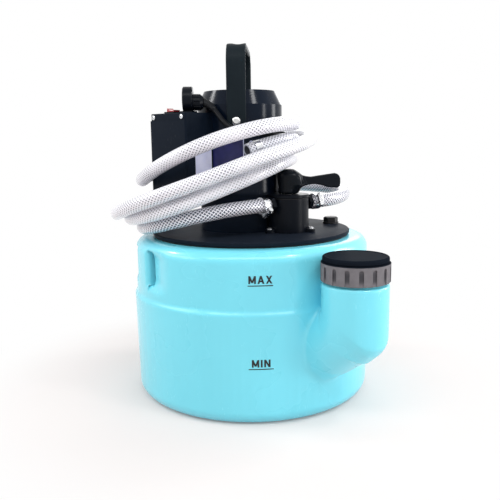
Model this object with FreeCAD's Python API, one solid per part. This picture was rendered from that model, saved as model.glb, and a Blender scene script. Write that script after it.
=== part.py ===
"""Descaling pump for flushing heat exchangers: tank, vertical pump, motor, reversing valve and hoses.

Millimetres, +Z up. The origin is on the tank's axis at the floor, and -Y is the front with the level
marks. Every piece is a closed solid of its own, written to parts/NODE.step.
"""
import FreeCAD
import Part
import math
import os

V = FreeCAD.Vector
UP = V(0, 0, 1)

# Running and seating clearances
PART_GAP = 0.3
SHAFT_FIT = 0.04
SLIP_GAP = 0.5
CUT = 1.0

# Tank: blow-moulded vessel with a raised belt line at mid-height
TANK_WALL = 4.0
FOOT_R = 167.7
FOOT_FILLET = 16.8
BELT_R = 170.0
BELT_Z = 147.3
BELT_STEP = 2.5
BODY_R = 166.8
SHOULDER_Z = 208.0
SHOULDER_R = 150.6
TANK_TOP = 224.0
RIM_THICKNESS = 8.0
MOUTH_R = 105.0

# Fill spout: mitred elbow that leaves the lower wall and turns up to a threaded neck
SPOUT_ANGLE = -53.5
SPOUT_STANDOFF = 43.7
SPOUT_PIPE_R = 41.3
SPOUT_BEND_Z = 130.0
SPOUT_SLOPE = 36.0
SPOUT_HEEL = 13.0
SPOUT_ROOT_DEPTH = 30.0
SPOUT_BORE_DEPTH = 50.0
NECK_SHOULDER_Z = 185.5
FINISH_R = 36.4
FINISH_TOP_Z = 209.7
FINISH_WALL = 3.2

# Screw cap and its seal
CAP_R = 42.2
CAP_TOP_R = 40.4
CAP_SKIRT_GAP = 3.0
CAP_RIM_HEIGHT = 24.0
CAP_TOP_THICKNESS = 5.6
CAP_THREAD_GAP = 1.0
CAP_NOTCHES = 16
CAP_NOTCH_WIDTH = 5.6
CAP_NOTCH_DEPTH = 1.4
CAP_NOTCH_HEIGHT = 20.0
SEAL_THICKNESS = 3.4
SEAL_HOLE_R = 26.0

# Moulded grip in the left wall: a pocket bridged by an upright bar
GRIP_START = 180.0
GRIP_SPAN = 39.5
GRIP_FLOOR_Z = 167.0
GRIP_ROOF_Z = 213.0
GRIP_BACK_R = 126.0
GRIP_BAR_START = 197.0
GRIP_BAR_SPAN = 15.5
GRIP_BAR_THICKNESS = 19.0
GRIP_CORNER = 9.0
GRIP_CUT_REACH = 10.0

# Top plate, gasket and bolts
GASKET_THICKNESS = 2.0
GASKET_R = 139.5
PLATE_R = 141.7
PLATE_THICKNESS = 5.0
PLATE_EDGE = 1.0
BOLT_CIRCLE_R = 128.4
BOLT_ANGLES = (19.0, 71.0, 123.0, 175.0)
BOLT_R = 6.0
BOLT_HOLE_R = 6.6
BOLT_HEAD_FLATS = 19.0
BOLT_HEAD_HEIGHT = 7.5
BOLT_LENGTH = 24.0
WASHER_R = 12.0
WASHER_THICKNESS = 2.5
BOSS_R = 11.0
BOSS_DEPTH = 20.0

# Motor axis and foot casting
MOTOR_X = -14.1
MOTOR_Y = 4.9
MOTOR_R = 59.8
FOOT_CASTING_R = 58.0
FOOT_CASTING_BORE_R = 41.0
FOOT_CASTING_FLOOR = 9.0
MOTOR_FLANGE_Z = 283.0
FOOT_SCREW_CIRCLE_R = 30.0
FOOT_SCREW_R = 3.0
FOOT_SCREW_HEAD_R = 5.0
FOOT_SCREW_HEAD_HEIGHT = 4.0
FOOT_SCREW_LENGTH = 22.0
LUG_RECESS = 12.0

# Motor shell, cowl and end shields
SHELL_WALL = 2.6
FLANGE_THICKNESS = 3.0
SHIELD_SPIGOT = 3.0
COWL_SEAM_Z = 374.0
COWL_RIM_Z = 412.6
COWL_TOP_Z = 424.9
COWL_TOP_R = 50.4
COWL_LAP = 6.0
COWL_SLOTS = 20
COWL_SLOT_WIDTH = 3.0
COWL_SLOT_INNER_R = 17.0
COWL_SLOT_OUTER_R = 43.0
HUB_R = 21.0
BEARING_R = 16.0
BEARING_WIDTH = 10.0
SHAFT_R = 6.0
ROTOR_R = 29.6
AIR_GAP = 0.5
SHIELD_BORE_GAP = 1.5
STATOR_R = 52.0
STATOR_Z = 304.0
STACK_HEIGHT = 48.0
STATOR_SLOTS = 12
STATOR_SLOT_R = 4.2
STATOR_SLOT_CIRCLE_R = 38.5
WINDING_HEIGHT = 8.0
WINDING_IN_R = 33.5
WINDING_OUT_R = 46.0
RIM_RING_WALL = 8.0
FAN_R = 46.0
FAN_BLADES = 7
FAN_BLADE_THICKNESS = 2.0
FAN_HEIGHT = 13.0
FAN_LIFT = 8.0
FAN_HUB_R = 12.0

# Carry handle: one moulded strap, turned a little about the motor's axis
HANDLE_TURN = -3.5
HANDLE_WIDTH = 26.0
HANDLE_THICKNESS = 5.0
HANDLE_GRIP_THICKNESS = 8.0
HANDLE_TOP_Z = 485.5
HANDLE_CORNER_R = 26.0
HANDLE_FOOT_Z = 373.0
HANDLE_SCREW_Z = 382.5
HANDLE_GROOVE_R = 9.0
HANDLE_GROOVE_DEPTH = 3.6
HANDLE_GROOVE_OFFSET = 2.6
HANDLE_SCREW_R = 3.0
HANDLE_SCREW_HEAD_R = 5.6
HANDLE_SCREW_HEAD_HEIGHT = 3.4
HANDLE_BOSS_R = 7.0
HANDLE_BOSS_DEPTH = 7.0

# Immersed pump under the plate
COLUMN_R = 17.0
COLUMN_BORE_R = 13.5
COLUMN_FLANGE_R = 38.0
COLUMN_FLANGE_THICKNESS = 6.0
VOLUTE_FLOOR_Z = 24.0
VOLUTE_R = 43.0
VOLUTE_WALL = 5.0
VOLUTE_HEIGHT = 28.0
VOLUTE_INLET_R = 13.0
IMPELLER_R = 33.0
IMPELLER_PLATE = 3.0
IMPELLER_BLADE_HEIGHT = 11.0
IMPELLER_BLADES = 6
IMPELLER_BLADE_THICKNESS = 2.4
IMPELLER_LIFT = 1.5
PUMP_SHAFT_R = 5.0
BUSH_HEIGHT = 16.0
WEEP_R = 3.0
WEEP_DROP = 30.0
COUPLING_R = 12.0
COUPLING_Z = 243.0
COUPLING_HEIGHT = 30.0
COUPLING_JOINT_Z = 257.0
STRAINER_R = 31.0
STRAINER_FLOOR_Z = 10.0
STRAINER_WALL = 2.5
STRAINER_SLOTS = 12
STRAINER_SLOT_WIDTH = 6.0
PIPE_R = 7.0
PIPE_BORE_R = 5.2
OUTLET_R = 10.0
OUTLET_RISE = 20.0
RETURN_PIPE_FOOT_Z = 120.0
PIPE_SOCKET = 8.0

# Reversing valve beside the motor
VALVE_X = 52.2
VALVE_Y = -36.0
VALVE_R = 28.3
VALVE_CHAMBER_R = 20.5
VALVE_FLOOR = 15.0
VALVE_BODY_TOP_Z = 277.5
VALVE_GASKET = 1.0
BONNET_R = 28.9
BONNET_THICKNESS = 4.5
VALVE_STEM_R = 8.0
STEM_TOP_Z = 303.0
ROTOR_DISC = 1.9
VALVE_VANE = 8.0
VALVE_PORT_Z = 270.0
VALVE_PORT_R = 5.5
PORT_BOSS_R = 7.4
PORT_BOSS_REACH = 31.0
PORT_SHANK = 7.0
LEFT_PORT_ANGLE = 219.3
RIGHT_PORT_ANGLE = 32.7
VANE_ANGLE = 84.0
SUPPLY_ANGLE = 129.0
RETURN_ANGLE = 309.0
FLOOR_PORT_R = 11.0
FOOT_LUG_ANGLES = (-25.0, 215.0)
FOOT_LUG_CIRCLE_R = 33.0
FOOT_LUG_R = 6.0
FOOT_LUG_HEIGHT = 5.0
LUG_SCREW_R = 2.5
LUG_SCREW_HEAD_R = 4.2
LUG_SCREW_HEAD_HEIGHT = 2.6
VALVE_RELIEF = 2.0

# Lever: bell-shaped hub with a waisted arm and a thumb paddle
LEVER_FOOT_R = 14.2
LEVER_BELL_R = 16.0
LEVER_TOP_Z = 317.3
LEVER_SHOULDER_Z = 309.0
LEVER_SCREW_R = 2.5
LEVER_SCREW_Z = 292.0
ARM_Z = 301.5
LEVER_REACH = 67.0
PADDLE_LENGTH = 26.0
PADDLE_HEIGHT = 19.0
PADDLE_Z = 301.0
WAIST_HEIGHT = 10.5
ARM_THICKNESS = 9.0

# Hose tails, hoses and clamps
TAIL_HEX_FLATS = 20.0
TAIL_HEX_LENGTH = 6.0
TAIL_R = 6.4
TAIL_BORE_R = 4.6
TAIL_LENGTH = 22.0
TAIL_BARBS = 4
HOSE_R = 9.6
HOSE_BORE_R = 6.5
END_BORE_DEPTH = 24.0
CLAMP_R = 11.2
CLAMP_WIDTH = 9.0
CLAMP_INSET = 5.0
CLAMP_HOUSING = (8.0, 11.0, 6.0)
PORT_CLAMP_ROLLS = (-100.0, -80.0)
END_CLAMP_INSET = 9.0
END_CLAMP_ROLLS = (90.0, 90.0)
BEND_SHARE = 0.45

# Control box on the motor's left, set corner-on to the front
BOX_CORNER = (-84.0, -76.0)
BOX_TURN = 45.0
BOX_WIDTH = 66.0
BOX_LENGTH = 78.0
BOX_WALL = 3.0
BOX_FLOOR_Z = 288.0
BOX_TOP_Z = 385.0
LID_HEIGHT = 9.5
LID_INSET = 1.2
LID_WALL = 2.5
LIP_HEIGHT = 6.0
LIP_WALL = 2.2
BOX_CORNER_R = 3.0
MOTOR_SADDLE_GAP = 0.2
LID_SCREW_PLACES = (9.0, 69.0)
LID_SCREW_RISE = 4.3
LID_SCREW_R = 1.8
LID_SCREW_HEAD_R = 3.2
LID_SCREW_HEAD_HEIGHT = 2.2
LID_SCREW_LENGTH = 6.0

# Rocker switch
SWITCH_PLACE = (17.7, 47.4)
BEZEL_LENGTH = 21.5
BEZEL_WIDTH = 15.5
BEZEL_HEIGHT = 2.4
BEZEL_RIM = 2.2
SWITCH_BODY_DEPTH = 17.0
SWITCH_BODY_INSET = 1.0
ROCKER_RISE = 7.0
ROCKER_TILT = 9.0
ROCKER_END_GAP = 0.95
TRUNNION_R = 1.2
TRUNNION_SEAT = 0.7

# Starting capacitor and terminal block in the box
CAPACITOR_R = 15.0
CAPACITOR_LENGTH = 56.0
CAPACITOR_PLACE = (22.0, 24.0)
TERMINAL_SIZE = (14.0, 24.0, 16.0)
TERMINAL_PLACE = (8.0, 42.0)

# Cable gland: angled gland with a round inspection cover
GLAND_X = -83.0
GLAND_Y = -43.0
GLAND_STUB_R = 6.5
GLAND_DISC_R = 17.0
GLAND_DISC_WIDTH = 13.4
GLAND_DISC_LIFT = 17.8
GLAND_NUT_R = 11.0
GLAND_NUT_LIFT = 14.0
GLAND_NUT_LENGTH = 13.8
GLAND_NUT_RIBS = 12
GLAND_COLLAR_FLATS = 21.0
GLAND_COLLAR_HEIGHT = 2.5

# Mains lead and plug
LEAD_R = 3.5
COIL_X = -14.0
COIL_Y = 112.0
COIL_MEAN_R = 36.0
COIL_TURNS = 5.5
COIL_COLUMNS = 2
COIL_LAYERS = 3
PLUG_R = 18.3
PLUG_HEIGHT = 29.0
PIN_R = 2.4
PIN_LENGTH = 19.0
PIN_SPACING = 19.0
PLUG_RELIEF_R = 4.4

# Routes of the free cords, as control points from the exit to the far end
LEAD_ROUTE = [
    (-62.5, -43.0, 408.5), (-53.5, -46.5, 405.0), (-43.0, -57.0, 393.0), (-33.0, -68.0, 379.0),
    (-16.0, -73.5, 368.0), (7.0, -67.0, 365.0), (29.0, -50.0, 366.0), (46.0, -25.0, 366.0),
    (53.5, 6.0, 361.0), (45.0, 38.0, 348.0), (22.0, 61.0, 328.0), (-6.0, 73.0, 303.0),
    (-32.0, 73.0, 276.0), (-51.0, 79.0, 255.0), (-52.2, 99.5, 248.8),
]
HOSE_A_ROUTE = [
    (23.3, -59.6, 270.0), (-17.7, -93.3, 270.0), (-76.0, -110.0, 259.0), (-129.0, -85.0, 246.0),
    (-156.0, -30.0, 237.0), (-154.0, 36.0, 240.0), (-116.0, 88.0, 258.0), (-54.0, 112.0, 282.0),
    (18.0, 102.0, 307.0), (60.0, 50.0, 325.0), (66.0, -20.0, 334.0), (26.0, -92.0, 319.0),
    (-44.0, -124.0, 291.0), (-113.0, -115.0, 268.0), (-162.0, -65.0, 254.0), (-176.0, 6.0, 249.0),
    (-160.0, 68.0, 262.0), (-108.0, 116.0, 284.0), (-38.0, 132.0, 308.0), (30.0, 110.0, 328.0),
    (70.0, 54.0, 342.0), (77.0, -12.0, 352.0), (48.0, -64.0, 358.0), (-4.0, -94.0, 344.0),
]
HOSE_B_ROUTE = [
    (83.6, -15.9, 270.0), (122.0, 8.8, 270.0), (137.0, 66.0, 273.0), (108.0, 126.0, 278.0),
    (40.0, 156.0, 281.0), (-46.0, 158.0, 277.0), (-126.0, 134.0, 266.0), (-185.0, 86.0, 258.0),
    (-197.0, 8.0, 253.0), (-179.0, -69.0, 264.0), (-129.0, -120.0, 283.0), (-60.0, -137.0, 306.0),
    (16.0, -120.0, 332.0), (74.0, -71.0, 350.0), (99.0, 0.0, 362.0), (79.0, 72.0, 366.0),
    (24.0, 118.0, 358.0), (-46.0, 126.0, 342.0), (-110.0, 98.0, 322.0), (-154.0, 44.0, 307.0),
    (-160.0, -20.0, 306.0), (-118.0, -86.0, 332.0), (-54.0, -118.0, 358.0), (14.0, -104.0, 375.0),
    (62.0, -48.0, 380.0), (68.0, 18.0, 380.0), (36.0, 74.0, 379.0), (-22.0, 96.0, 376.0),
]

# Sizes that follow from the ones above
SPOUT_REACH = BODY_R + SPOUT_STANDOFF
HANDLE_REACH = MOTOR_R + HANDLE_THICKNESS
GASKET_TOP = TANK_TOP + GASKET_THICKNESS
PLATE_TOP = GASKET_TOP + PLATE_THICKNESS
SHELL_BASE = MOTOR_FLANGE_Z + FLANGE_THICKNESS
SHELL_BORE_R = MOTOR_R - SHELL_WALL
SHIELD_R = SHELL_BORE_R - 0.2
STATOR_TOP = STATOR_Z + STACK_HEIGHT
SHIELD_TOP = COWL_SEAM_Z - COWL_LAP
FAN_Z = SHIELD_TOP + FAN_LIFT
CAP_FOOT_Z = NECK_SHOULDER_Z + CAP_SKIRT_GAP
CAP_RIM_TOP = CAP_FOOT_Z + CAP_RIM_HEIGHT
SEAL_Z = FINISH_TOP_Z + PART_GAP
CAP_CEILING_Z = SEAL_Z + SEAL_THICKNESS + PART_GAP
CAP_TOP_Z = CAP_CEILING_Z + CAP_TOP_THICKNESS
VALVE_FLOOR_Z = PLATE_TOP + VALVE_FLOOR
BONNET_TOP = VALVE_BODY_TOP_Z + VALVE_GASKET + BONNET_THICKNESS
VOLUTE_TOP = VOLUTE_FLOOR_Z + VOLUTE_HEIGHT
LID_TOP = BOX_TOP_Z + LID_HEIGHT
ROCKER_PIVOT_Z = LID_TOP
LID_SCREW_Z = BOX_TOP_Z + LID_SCREW_RISE
GLAND_DISC_Z = LID_TOP + GLAND_DISC_LIFT
GLAND_NUT_Z = LID_TOP + GLAND_NUT_LIFT
COIL_BASE = PLATE_TOP + PART_GAP


def cylinder(radius, low, high, x=0.0, y=0.0):
    """Upright cylinder between two heights."""
    return Part.makeCylinder(radius, high - low, V(x, y, low))


def ring(outer, inner, low, high, x=0.0, y=0.0):
    """Upright tube between two heights."""
    return cylinder(outer, low, high, x, y).cut(cylinder(inner, low - 1.0, high + 1.0, x, y))


def rod(radius, start, end):
    """Cylinder from one point to another."""
    line = end - start
    return Part.makeCylinder(radius, line.Length, start, line)


def block(low, high):
    """Box between two corners."""
    return Part.makeBox(high[0] - low[0], high[1] - low[1], high[2] - low[2], V(*low))


def polar(radius, angle, height=0.0, x=0.0, y=0.0):
    """Point at a radius and an angle in degrees about an upright axis."""
    turn = math.radians(angle)
    return V(x + radius * math.cos(turn), y + radius * math.sin(turn), height)


def direction(angle):
    """Level unit vector at an angle in degrees."""
    return polar(1.0, angle)


def outline(start, *moves):
    """Closed face in the XZ plane. A move is an end point, or a pair of points for an arc."""
    edges = []
    here = V(start[0], 0, start[1])
    for move in moves + (start,):
        if isinstance(move[0], tuple):
            through = V(move[0][0], 0, move[0][1])
            end = V(move[1][0], 0, move[1][1])
            edges.append(Part.Arc(here, through, end).toShape())
        else:
            end = V(move[0], 0, move[1])
            if (end - here).Length < 1e-6:
                continue
            edges.append(Part.LineSegment(here, end).toShape())
        here = end
    return Part.Face(Part.Wire(edges))


def turned(face, x=0.0, y=0.0):
    """Solid of revolution of an XZ face about the upright axis through x, y."""
    solid = face.revolve(V(0, 0, 0), UP, 360)
    solid.translate(V(x, y, 0))
    return solid


def fused(shapes):
    """One solid from overlapping shapes."""
    base = shapes[0]
    return base.fuse(shapes[1:]).removeSplitter() if len(shapes) > 1 else base


def group(shapes):
    """Several separate solids as one compound."""
    solids = []
    for shape in shapes:
        solids.extend(shape.Solids)
    return Part.makeCompound(solids)


def hexagon(flats, low, high, x=0.0, y=0.0):
    """Upright hexagonal prism across flats."""
    corner = flats / math.sqrt(3.0)
    points = [polar(corner, 60.0 * step, low, x, y) for step in range(7)]
    return Part.Face(Part.makePolygon(points)).extrude(V(0, 0, high - low))


def aimed(shape, start, line):
    """Move a shape that stands on the origin along +Z so that it starts at a point and follows a line."""
    turn = FreeCAD.Rotation(UP, line)
    shape.Placement = FreeCAD.Placement(start, turn).multiply(shape.Placement)
    return shape


def edges_along(shape, axis, tolerance=1e-4):
    """Straight edges of a shape that run along an axis."""
    found = []
    for edge in shape.Edges:
        if not isinstance(edge.Curve, Part.Line):
            continue
        if edge.tangentAt(edge.FirstParameter).cross(axis).Length < tolerance:
            found.append(edge)
    return found


def tank_form(inset, ceiling):
    """Solid of revolution of the tank, drawn in by an inset, with its top at a height."""
    foot = FOOT_R - inset
    fillet = FOOT_FILLET - inset
    belt = BELT_R - inset
    body = BODY_R - inset
    shoulder = SHOULDER_R - inset
    corner = math.sqrt(0.5)
    return turned(outline(
        (0, inset), (foot - fillet, inset),
        ((foot - fillet + fillet * corner, inset + fillet - fillet * corner), (foot, inset + fillet)),
        (belt, BELT_Z - BELT_STEP), (body, BELT_Z + BELT_STEP), (body, SHOULDER_Z),
        ((shoulder + (body - shoulder) * corner, SHOULDER_Z + (ceiling - SHOULDER_Z) * corner),
         (shoulder, ceiling)),
        (0, ceiling)))


def heading(start, end):
    """Unit vector from one point to another."""
    line = end - start
    line.normalize()
    return line


def half_space(point, normal, reach):
    """Large cylinder that starts at a plane and fills the side its normal points to."""
    return Part.makeCylinder(reach, reach, point, normal)


def mitred_pipe(radius, points):
    """Round pipe along straight runs, square at its ends and mitred at its corners."""
    lines = [heading(points[step], points[step + 1]) for step in range(len(points) - 1)]
    pieces = []
    for step, line in enumerate(lines):
        near = points[step]
        far = points[step + 1]
        first = step == 0
        last = step == len(lines) - 1
        start = near if first else near - line * (2.0 * radius)
        end = far if last else far + line * (2.0 * radius)
        pipe = rod(radius, start, end)
        if not first:
            pipe = pipe.cut(half_space(near, -(line + lines[step - 1]), 8.0 * radius))
        if not last:
            pipe = pipe.cut(half_space(far, line + lines[step + 1], 8.0 * radius))
        pieces.append(pipe)
    return fused(pieces)


def spout_form(radius, top, inner_reach):
    """Elbow of one radius from inside the tank, out along the slope and up to a height."""
    slope = math.radians(SPOUT_SLOPE)
    inward = V(-math.cos(slope), 0, -math.sin(slope))
    bend = V(SPOUT_REACH, 0, SPOUT_BEND_Z)
    inner = bend + inward * ((SPOUT_REACH - inner_reach) / math.cos(slope))
    elbow = mitred_pipe(radius, [V(SPOUT_REACH, 0, top), bend + UP * SPOUT_HEEL,
                                 bend + inward * SPOUT_HEEL, inner])
    elbow.rotate(V(0, 0, 0), UP, SPOUT_ANGLE)
    return elbow


def sector(inner, outer, low, high, start, span):
    """Part of an upright ring between two angles, in degrees."""
    piece = Part.makeCylinder(outer, high - low, V(0, 0, low), UP, span)
    piece = piece.cut(cylinder(inner, low - 1.0, high + 1.0))
    piece.rotate(V(0, 0, 0), UP, start)
    return piece


def grip_pocket(growth):
    """Space of the moulded grip behind and beside its bar, grown on every side."""
    half = BODY_R * math.sin(math.radians(GRIP_SPAN / 2.0)) + growth
    hollow = block((0, -half, GRIP_FLOOR_Z - growth), (BELT_R + GRIP_CUT_REACH, half, GRIP_ROOF_Z + growth))
    hollow = hollow.makeFillet(GRIP_CORNER + growth, edges_along(hollow, V(1, 0, 0)))
    hollow.rotate(V(0, 0, 0), UP, GRIP_START + GRIP_SPAN / 2.0)
    return hollow.cut(cylinder(GRIP_BACK_R - growth, 0, TANK_TOP))


def grip_bar():
    """Upright bar across the pocket, flush with the wall."""
    bar = sector(BODY_R - GRIP_BAR_THICKNESS, BODY_R, GRIP_FLOOR_Z - TANK_WALL, GRIP_ROOF_Z + TANK_WALL,
                 GRIP_BAR_START, GRIP_BAR_SPAN)
    bar = bar.makeFillet(5.0, edges_along(bar, UP))
    return bar.common(tank_form(0.0, TANK_TOP))


def make_tank():
    """Hollow tank with its mouth, fill spout, moulded grip and threaded bosses for the plate."""
    outer = tank_form(0.0, TANK_TOP)
    spout = spout_form(SPOUT_PIPE_R, NECK_SHOULDER_Z, BODY_R - SPOUT_ROOT_DEPTH)
    neck = cylinder(FINISH_R, NECK_SHOULDER_Z - 2.0, FINISH_TOP_Z, *spout_place())
    cavity = tank_form(TANK_WALL, TANK_TOP - RIM_THICKNESS).cut(grip_pocket(TANK_WALL))
    bosses = [cylinder(BOSS_R, TANK_TOP - BOSS_DEPTH, TANK_TOP - 1.0, *bolt_place(angle))
              for angle in BOLT_ANGLES]
    cavity = cavity.cut(bosses)
    shell = outer.fuse([spout, neck]).cut(cavity)
    shell = shell.cut(grip_pocket(0.0))
    shell = shell.fuse(grip_bar())
    shell = shell.cut(spout_form(SPOUT_PIPE_R - TANK_WALL, NECK_SHOULDER_Z - TANK_WALL,
                                 BODY_R - SPOUT_BORE_DEPTH))
    shell = shell.cut(cylinder(FINISH_R - FINISH_WALL, NECK_SHOULDER_Z - 2.0 * TANK_WALL, FINISH_TOP_Z + 1.0,
                               *spout_place()))
    shell = shell.cut(cylinder(MOUTH_R, TANK_TOP - 2.0 * RIM_THICKNESS, TANK_TOP + 1.0))
    holes = [cylinder(BOLT_R, TANK_TOP - BOSS_DEPTH + 3.0, TANK_TOP + 1.0, *bolt_place(angle))
             for angle in BOLT_ANGLES]
    return shell.cut(holes).removeSplitter()


def spout_place():
    """Plan position of the neck's axis."""
    place = polar(SPOUT_REACH, SPOUT_ANGLE)
    return place.x, place.y


def bolt_place(angle):
    """Plan position of a plate bolt."""
    place = polar(BOLT_CIRCLE_R, angle)
    return place.x, place.y


def make_spout_cap():
    """Screw cap: ribbed rim with arched notches, a shallow groove and a rounded top disc."""
    groove_z = CAP_RIM_TOP + 1.4
    edge = 2.6
    corner = math.sqrt(0.5)
    body = turned(outline(
        (0, CAP_FOOT_Z), (CAP_R - 0.8, CAP_FOOT_Z), (CAP_R, CAP_FOOT_Z + 0.8), (CAP_R, CAP_RIM_TOP - 1.0),
        (CAP_R - 1.0, CAP_RIM_TOP), (CAP_TOP_R - 1.6, CAP_RIM_TOP), (CAP_TOP_R - 1.6, groove_z),
        (CAP_TOP_R, groove_z), (CAP_TOP_R, CAP_TOP_Z - edge),
        ((CAP_TOP_R - edge + edge * corner, CAP_TOP_Z - edge + edge * corner),
         (CAP_TOP_R - edge, CAP_TOP_Z)),
        (CAP_TOP_R - 5.0, CAP_TOP_Z - 0.6), (0, CAP_TOP_Z - 0.6)))
    body = body.cut(cylinder(FINISH_R + CAP_THREAD_GAP, CAP_FOOT_Z - 1.0, CAP_CEILING_Z))
    notch = cap_notch()
    notches = []
    for step in range(CAP_NOTCHES):
        copy = notch.copy()
        copy.rotate(V(0, 0, 0), UP, 360.0 / CAP_NOTCHES * step)
        notches.append(copy)
    body = body.cut(notches)
    body.translate(V(*spout_place(), 0))
    return body


def cap_notch():
    """One arch-topped notch in the cap's rim, on +X."""
    half = CAP_NOTCH_WIDTH / 2.0
    low = CAP_FOOT_Z - 1.0
    spring = CAP_FOOT_Z + CAP_NOTCH_HEIGHT - half
    face = outline((-half, low), (half, low), (half, spring), ((0, spring + half), (-half, spring)))
    face.rotate(V(0, 0, 0), UP, 90.0)
    face.translate(V(CAP_R - CAP_NOTCH_DEPTH, 0, 0))
    return face.extrude(V(2.0 * CAP_NOTCH_DEPTH + 2.0, 0, 0))


def make_cap_seal():
    """Flat ring seal that sits on the mouth of the neck inside the cap."""
    return ring(FINISH_R - 0.4, SEAL_HOLE_R, SEAL_Z, SEAL_Z + SEAL_THICKNESS, *spout_place())


def make_top_plate():
    """Round plate that closes the tank and carries the motor, the pump and the valve."""
    plate = cylinder(PLATE_R, GASKET_TOP, PLATE_TOP)
    rims = [edge for edge in plate.Edges if isinstance(edge.Curve, Part.Circle)]
    plate = plate.makeChamfer(PLATE_EDGE, rims)
    holes = [cylinder(COUPLING_R + 1.0, GASKET_TOP - 1, PLATE_TOP + 1, MOTOR_X, MOTOR_Y)]
    for angle in BOLT_ANGLES:
        holes.append(cylinder(BOLT_HOLE_R, GASKET_TOP - 1, PLATE_TOP + 1, *bolt_place(angle)))
    for x, y in foot_screw_places():
        holes.append(cylinder(FOOT_SCREW_R, GASKET_TOP - 1, PLATE_TOP + 1, x, y))
    for angle in (SUPPLY_ANGLE, RETURN_ANGLE):
        place = floor_port(angle)
        holes.append(cylinder(PIPE_R + PART_GAP, GASKET_TOP - 1, PLATE_TOP + 1, place.x, place.y))
    for x, y in lug_places():
        holes.append(cylinder(LUG_SCREW_R, GASKET_TOP - 1, PLATE_TOP + 1, x, y))
    return plate.cut(holes)


def make_plate_gasket():
    """Flat gasket between the tank's rim and the plate."""
    gasket = ring(GASKET_R, MOUTH_R + 3.0, TANK_TOP, GASKET_TOP)
    return gasket.cut([cylinder(BOLT_HOLE_R, TANK_TOP - CUT, GASKET_TOP + CUT, *bolt_place(angle))
                       for angle in BOLT_ANGLES])


def make_plate_bolts():
    """Hexagon bolts of the plate."""
    bolts = []
    low = PLATE_TOP + WASHER_THICKNESS
    for angle in BOLT_ANGLES:
        x, y = bolt_place(angle)
        head = hexagon(BOLT_HEAD_FLATS, low, low + BOLT_HEAD_HEIGHT, x, y)
        head = head.common(turned(outline((0, low), (BOLT_HEAD_FLATS * 0.6, low),
                                          (BOLT_HEAD_FLATS * 0.6, low + BOLT_HEAD_HEIGHT - 2.0),
                                          (BOLT_HEAD_FLATS * 0.47, low + BOLT_HEAD_HEIGHT),
                                          (0, low + BOLT_HEAD_HEIGHT)), x, y))
        bolts.append(fused([head, cylinder(BOLT_R, low - BOLT_LENGTH, low + 1.0, x, y)]))
    return group(bolts)


def make_plate_washers():
    """Flat washers under the plate bolts."""
    return group([ring(WASHER_R, BOLT_HOLE_R, PLATE_TOP, PLATE_TOP + WASHER_THICKNESS, *bolt_place(a))
                  for a in BOLT_ANGLES])


def foot_screw_places():
    """Plan positions of the four screws in the foot casting."""
    places = [polar(FOOT_SCREW_CIRCLE_R, 45.0 + 90.0 * step, 0, MOTOR_X, MOTOR_Y) for step in range(4)]
    return [(place.x, place.y) for place in places]


def make_foot_casting():
    """Hollow foot casting under the motor, cut away round the valve."""
    body = cylinder(FOOT_CASTING_R, PLATE_TOP, MOTOR_FLANGE_Z, MOTOR_X, MOTOR_Y)
    body = body.cut(cylinder(FOOT_CASTING_BORE_R, PLATE_TOP + FOOT_CASTING_FLOOR, MOTOR_FLANGE_Z + 1,
                             MOTOR_X, MOTOR_Y))
    body = body.cut(cylinder(COUPLING_R + 1.0, PLATE_TOP - 1, MOTOR_FLANGE_Z, MOTOR_X, MOTOR_Y))
    body = body.cut(cylinder(BONNET_R + VALVE_RELIEF, PLATE_TOP - 1, MOTOR_FLANGE_Z + 1, VALVE_X, VALVE_Y))
    body = body.cut([cylinder(FOOT_LUG_R + SLIP_GAP * 2.0, PLATE_TOP - CUT, PLATE_TOP + LUG_RECESS, x, y)
                     for x, y in lug_places()])
    return body.cut([cylinder(FOOT_SCREW_R, PLATE_TOP - CUT, MOTOR_FLANGE_Z, x, y)
                     for x, y in foot_screw_places()])


def make_foot_screws():
    """Cap screws through the foot casting and the plate into the pump column's flange."""
    low = PLATE_TOP + FOOT_CASTING_FLOOR
    screws = []
    for x, y in foot_screw_places():
        head = cylinder(FOOT_SCREW_HEAD_R, low, low + FOOT_SCREW_HEAD_HEIGHT, x, y)
        head = head.cut(hexagon(4.0, low + 1.5, low + FOOT_SCREW_HEAD_HEIGHT + 1, x, y))
        screws.append(fused([head, cylinder(FOOT_SCREW_R, low - FOOT_SCREW_LENGTH + 1, low + 1.0, x, y)]))
    return group(screws)


def at_motor(face):
    """Solid of revolution of an XZ face about the motor's axis."""
    return turned(face, MOTOR_X, MOTOR_Y)


def around_motor(shape, count):
    """Copies of a shape spread evenly about the motor's axis."""
    copies = []
    for step in range(count):
        copy = shape.copy()
        copy.rotate(V(MOTOR_X, MOTOR_Y, 0), UP, 360.0 / count * step)
        copies.append(copy)
    return copies


def make_lower_shield():
    """Lower end shield: flange, spigot, bearing seat and the ring that carries the stator."""
    seat = SHELL_BASE + SHIELD_SPIGOT
    bore = SHAFT_R + SHIELD_BORE_GAP
    return at_motor(outline(
        (bore, MOTOR_FLANGE_Z), (MOTOR_R, MOTOR_FLANGE_Z), (MOTOR_R, SHELL_BASE), (SHIELD_R, SHELL_BASE),
        (SHIELD_R, STATOR_Z), (SHIELD_R - RIM_RING_WALL, STATOR_Z), (SHIELD_R - RIM_RING_WALL, seat),
        (HUB_R, seat), (HUB_R, seat + BEARING_WIDTH), (BEARING_R, seat + BEARING_WIDTH), (BEARING_R, seat),
        (bore, seat)))


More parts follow.
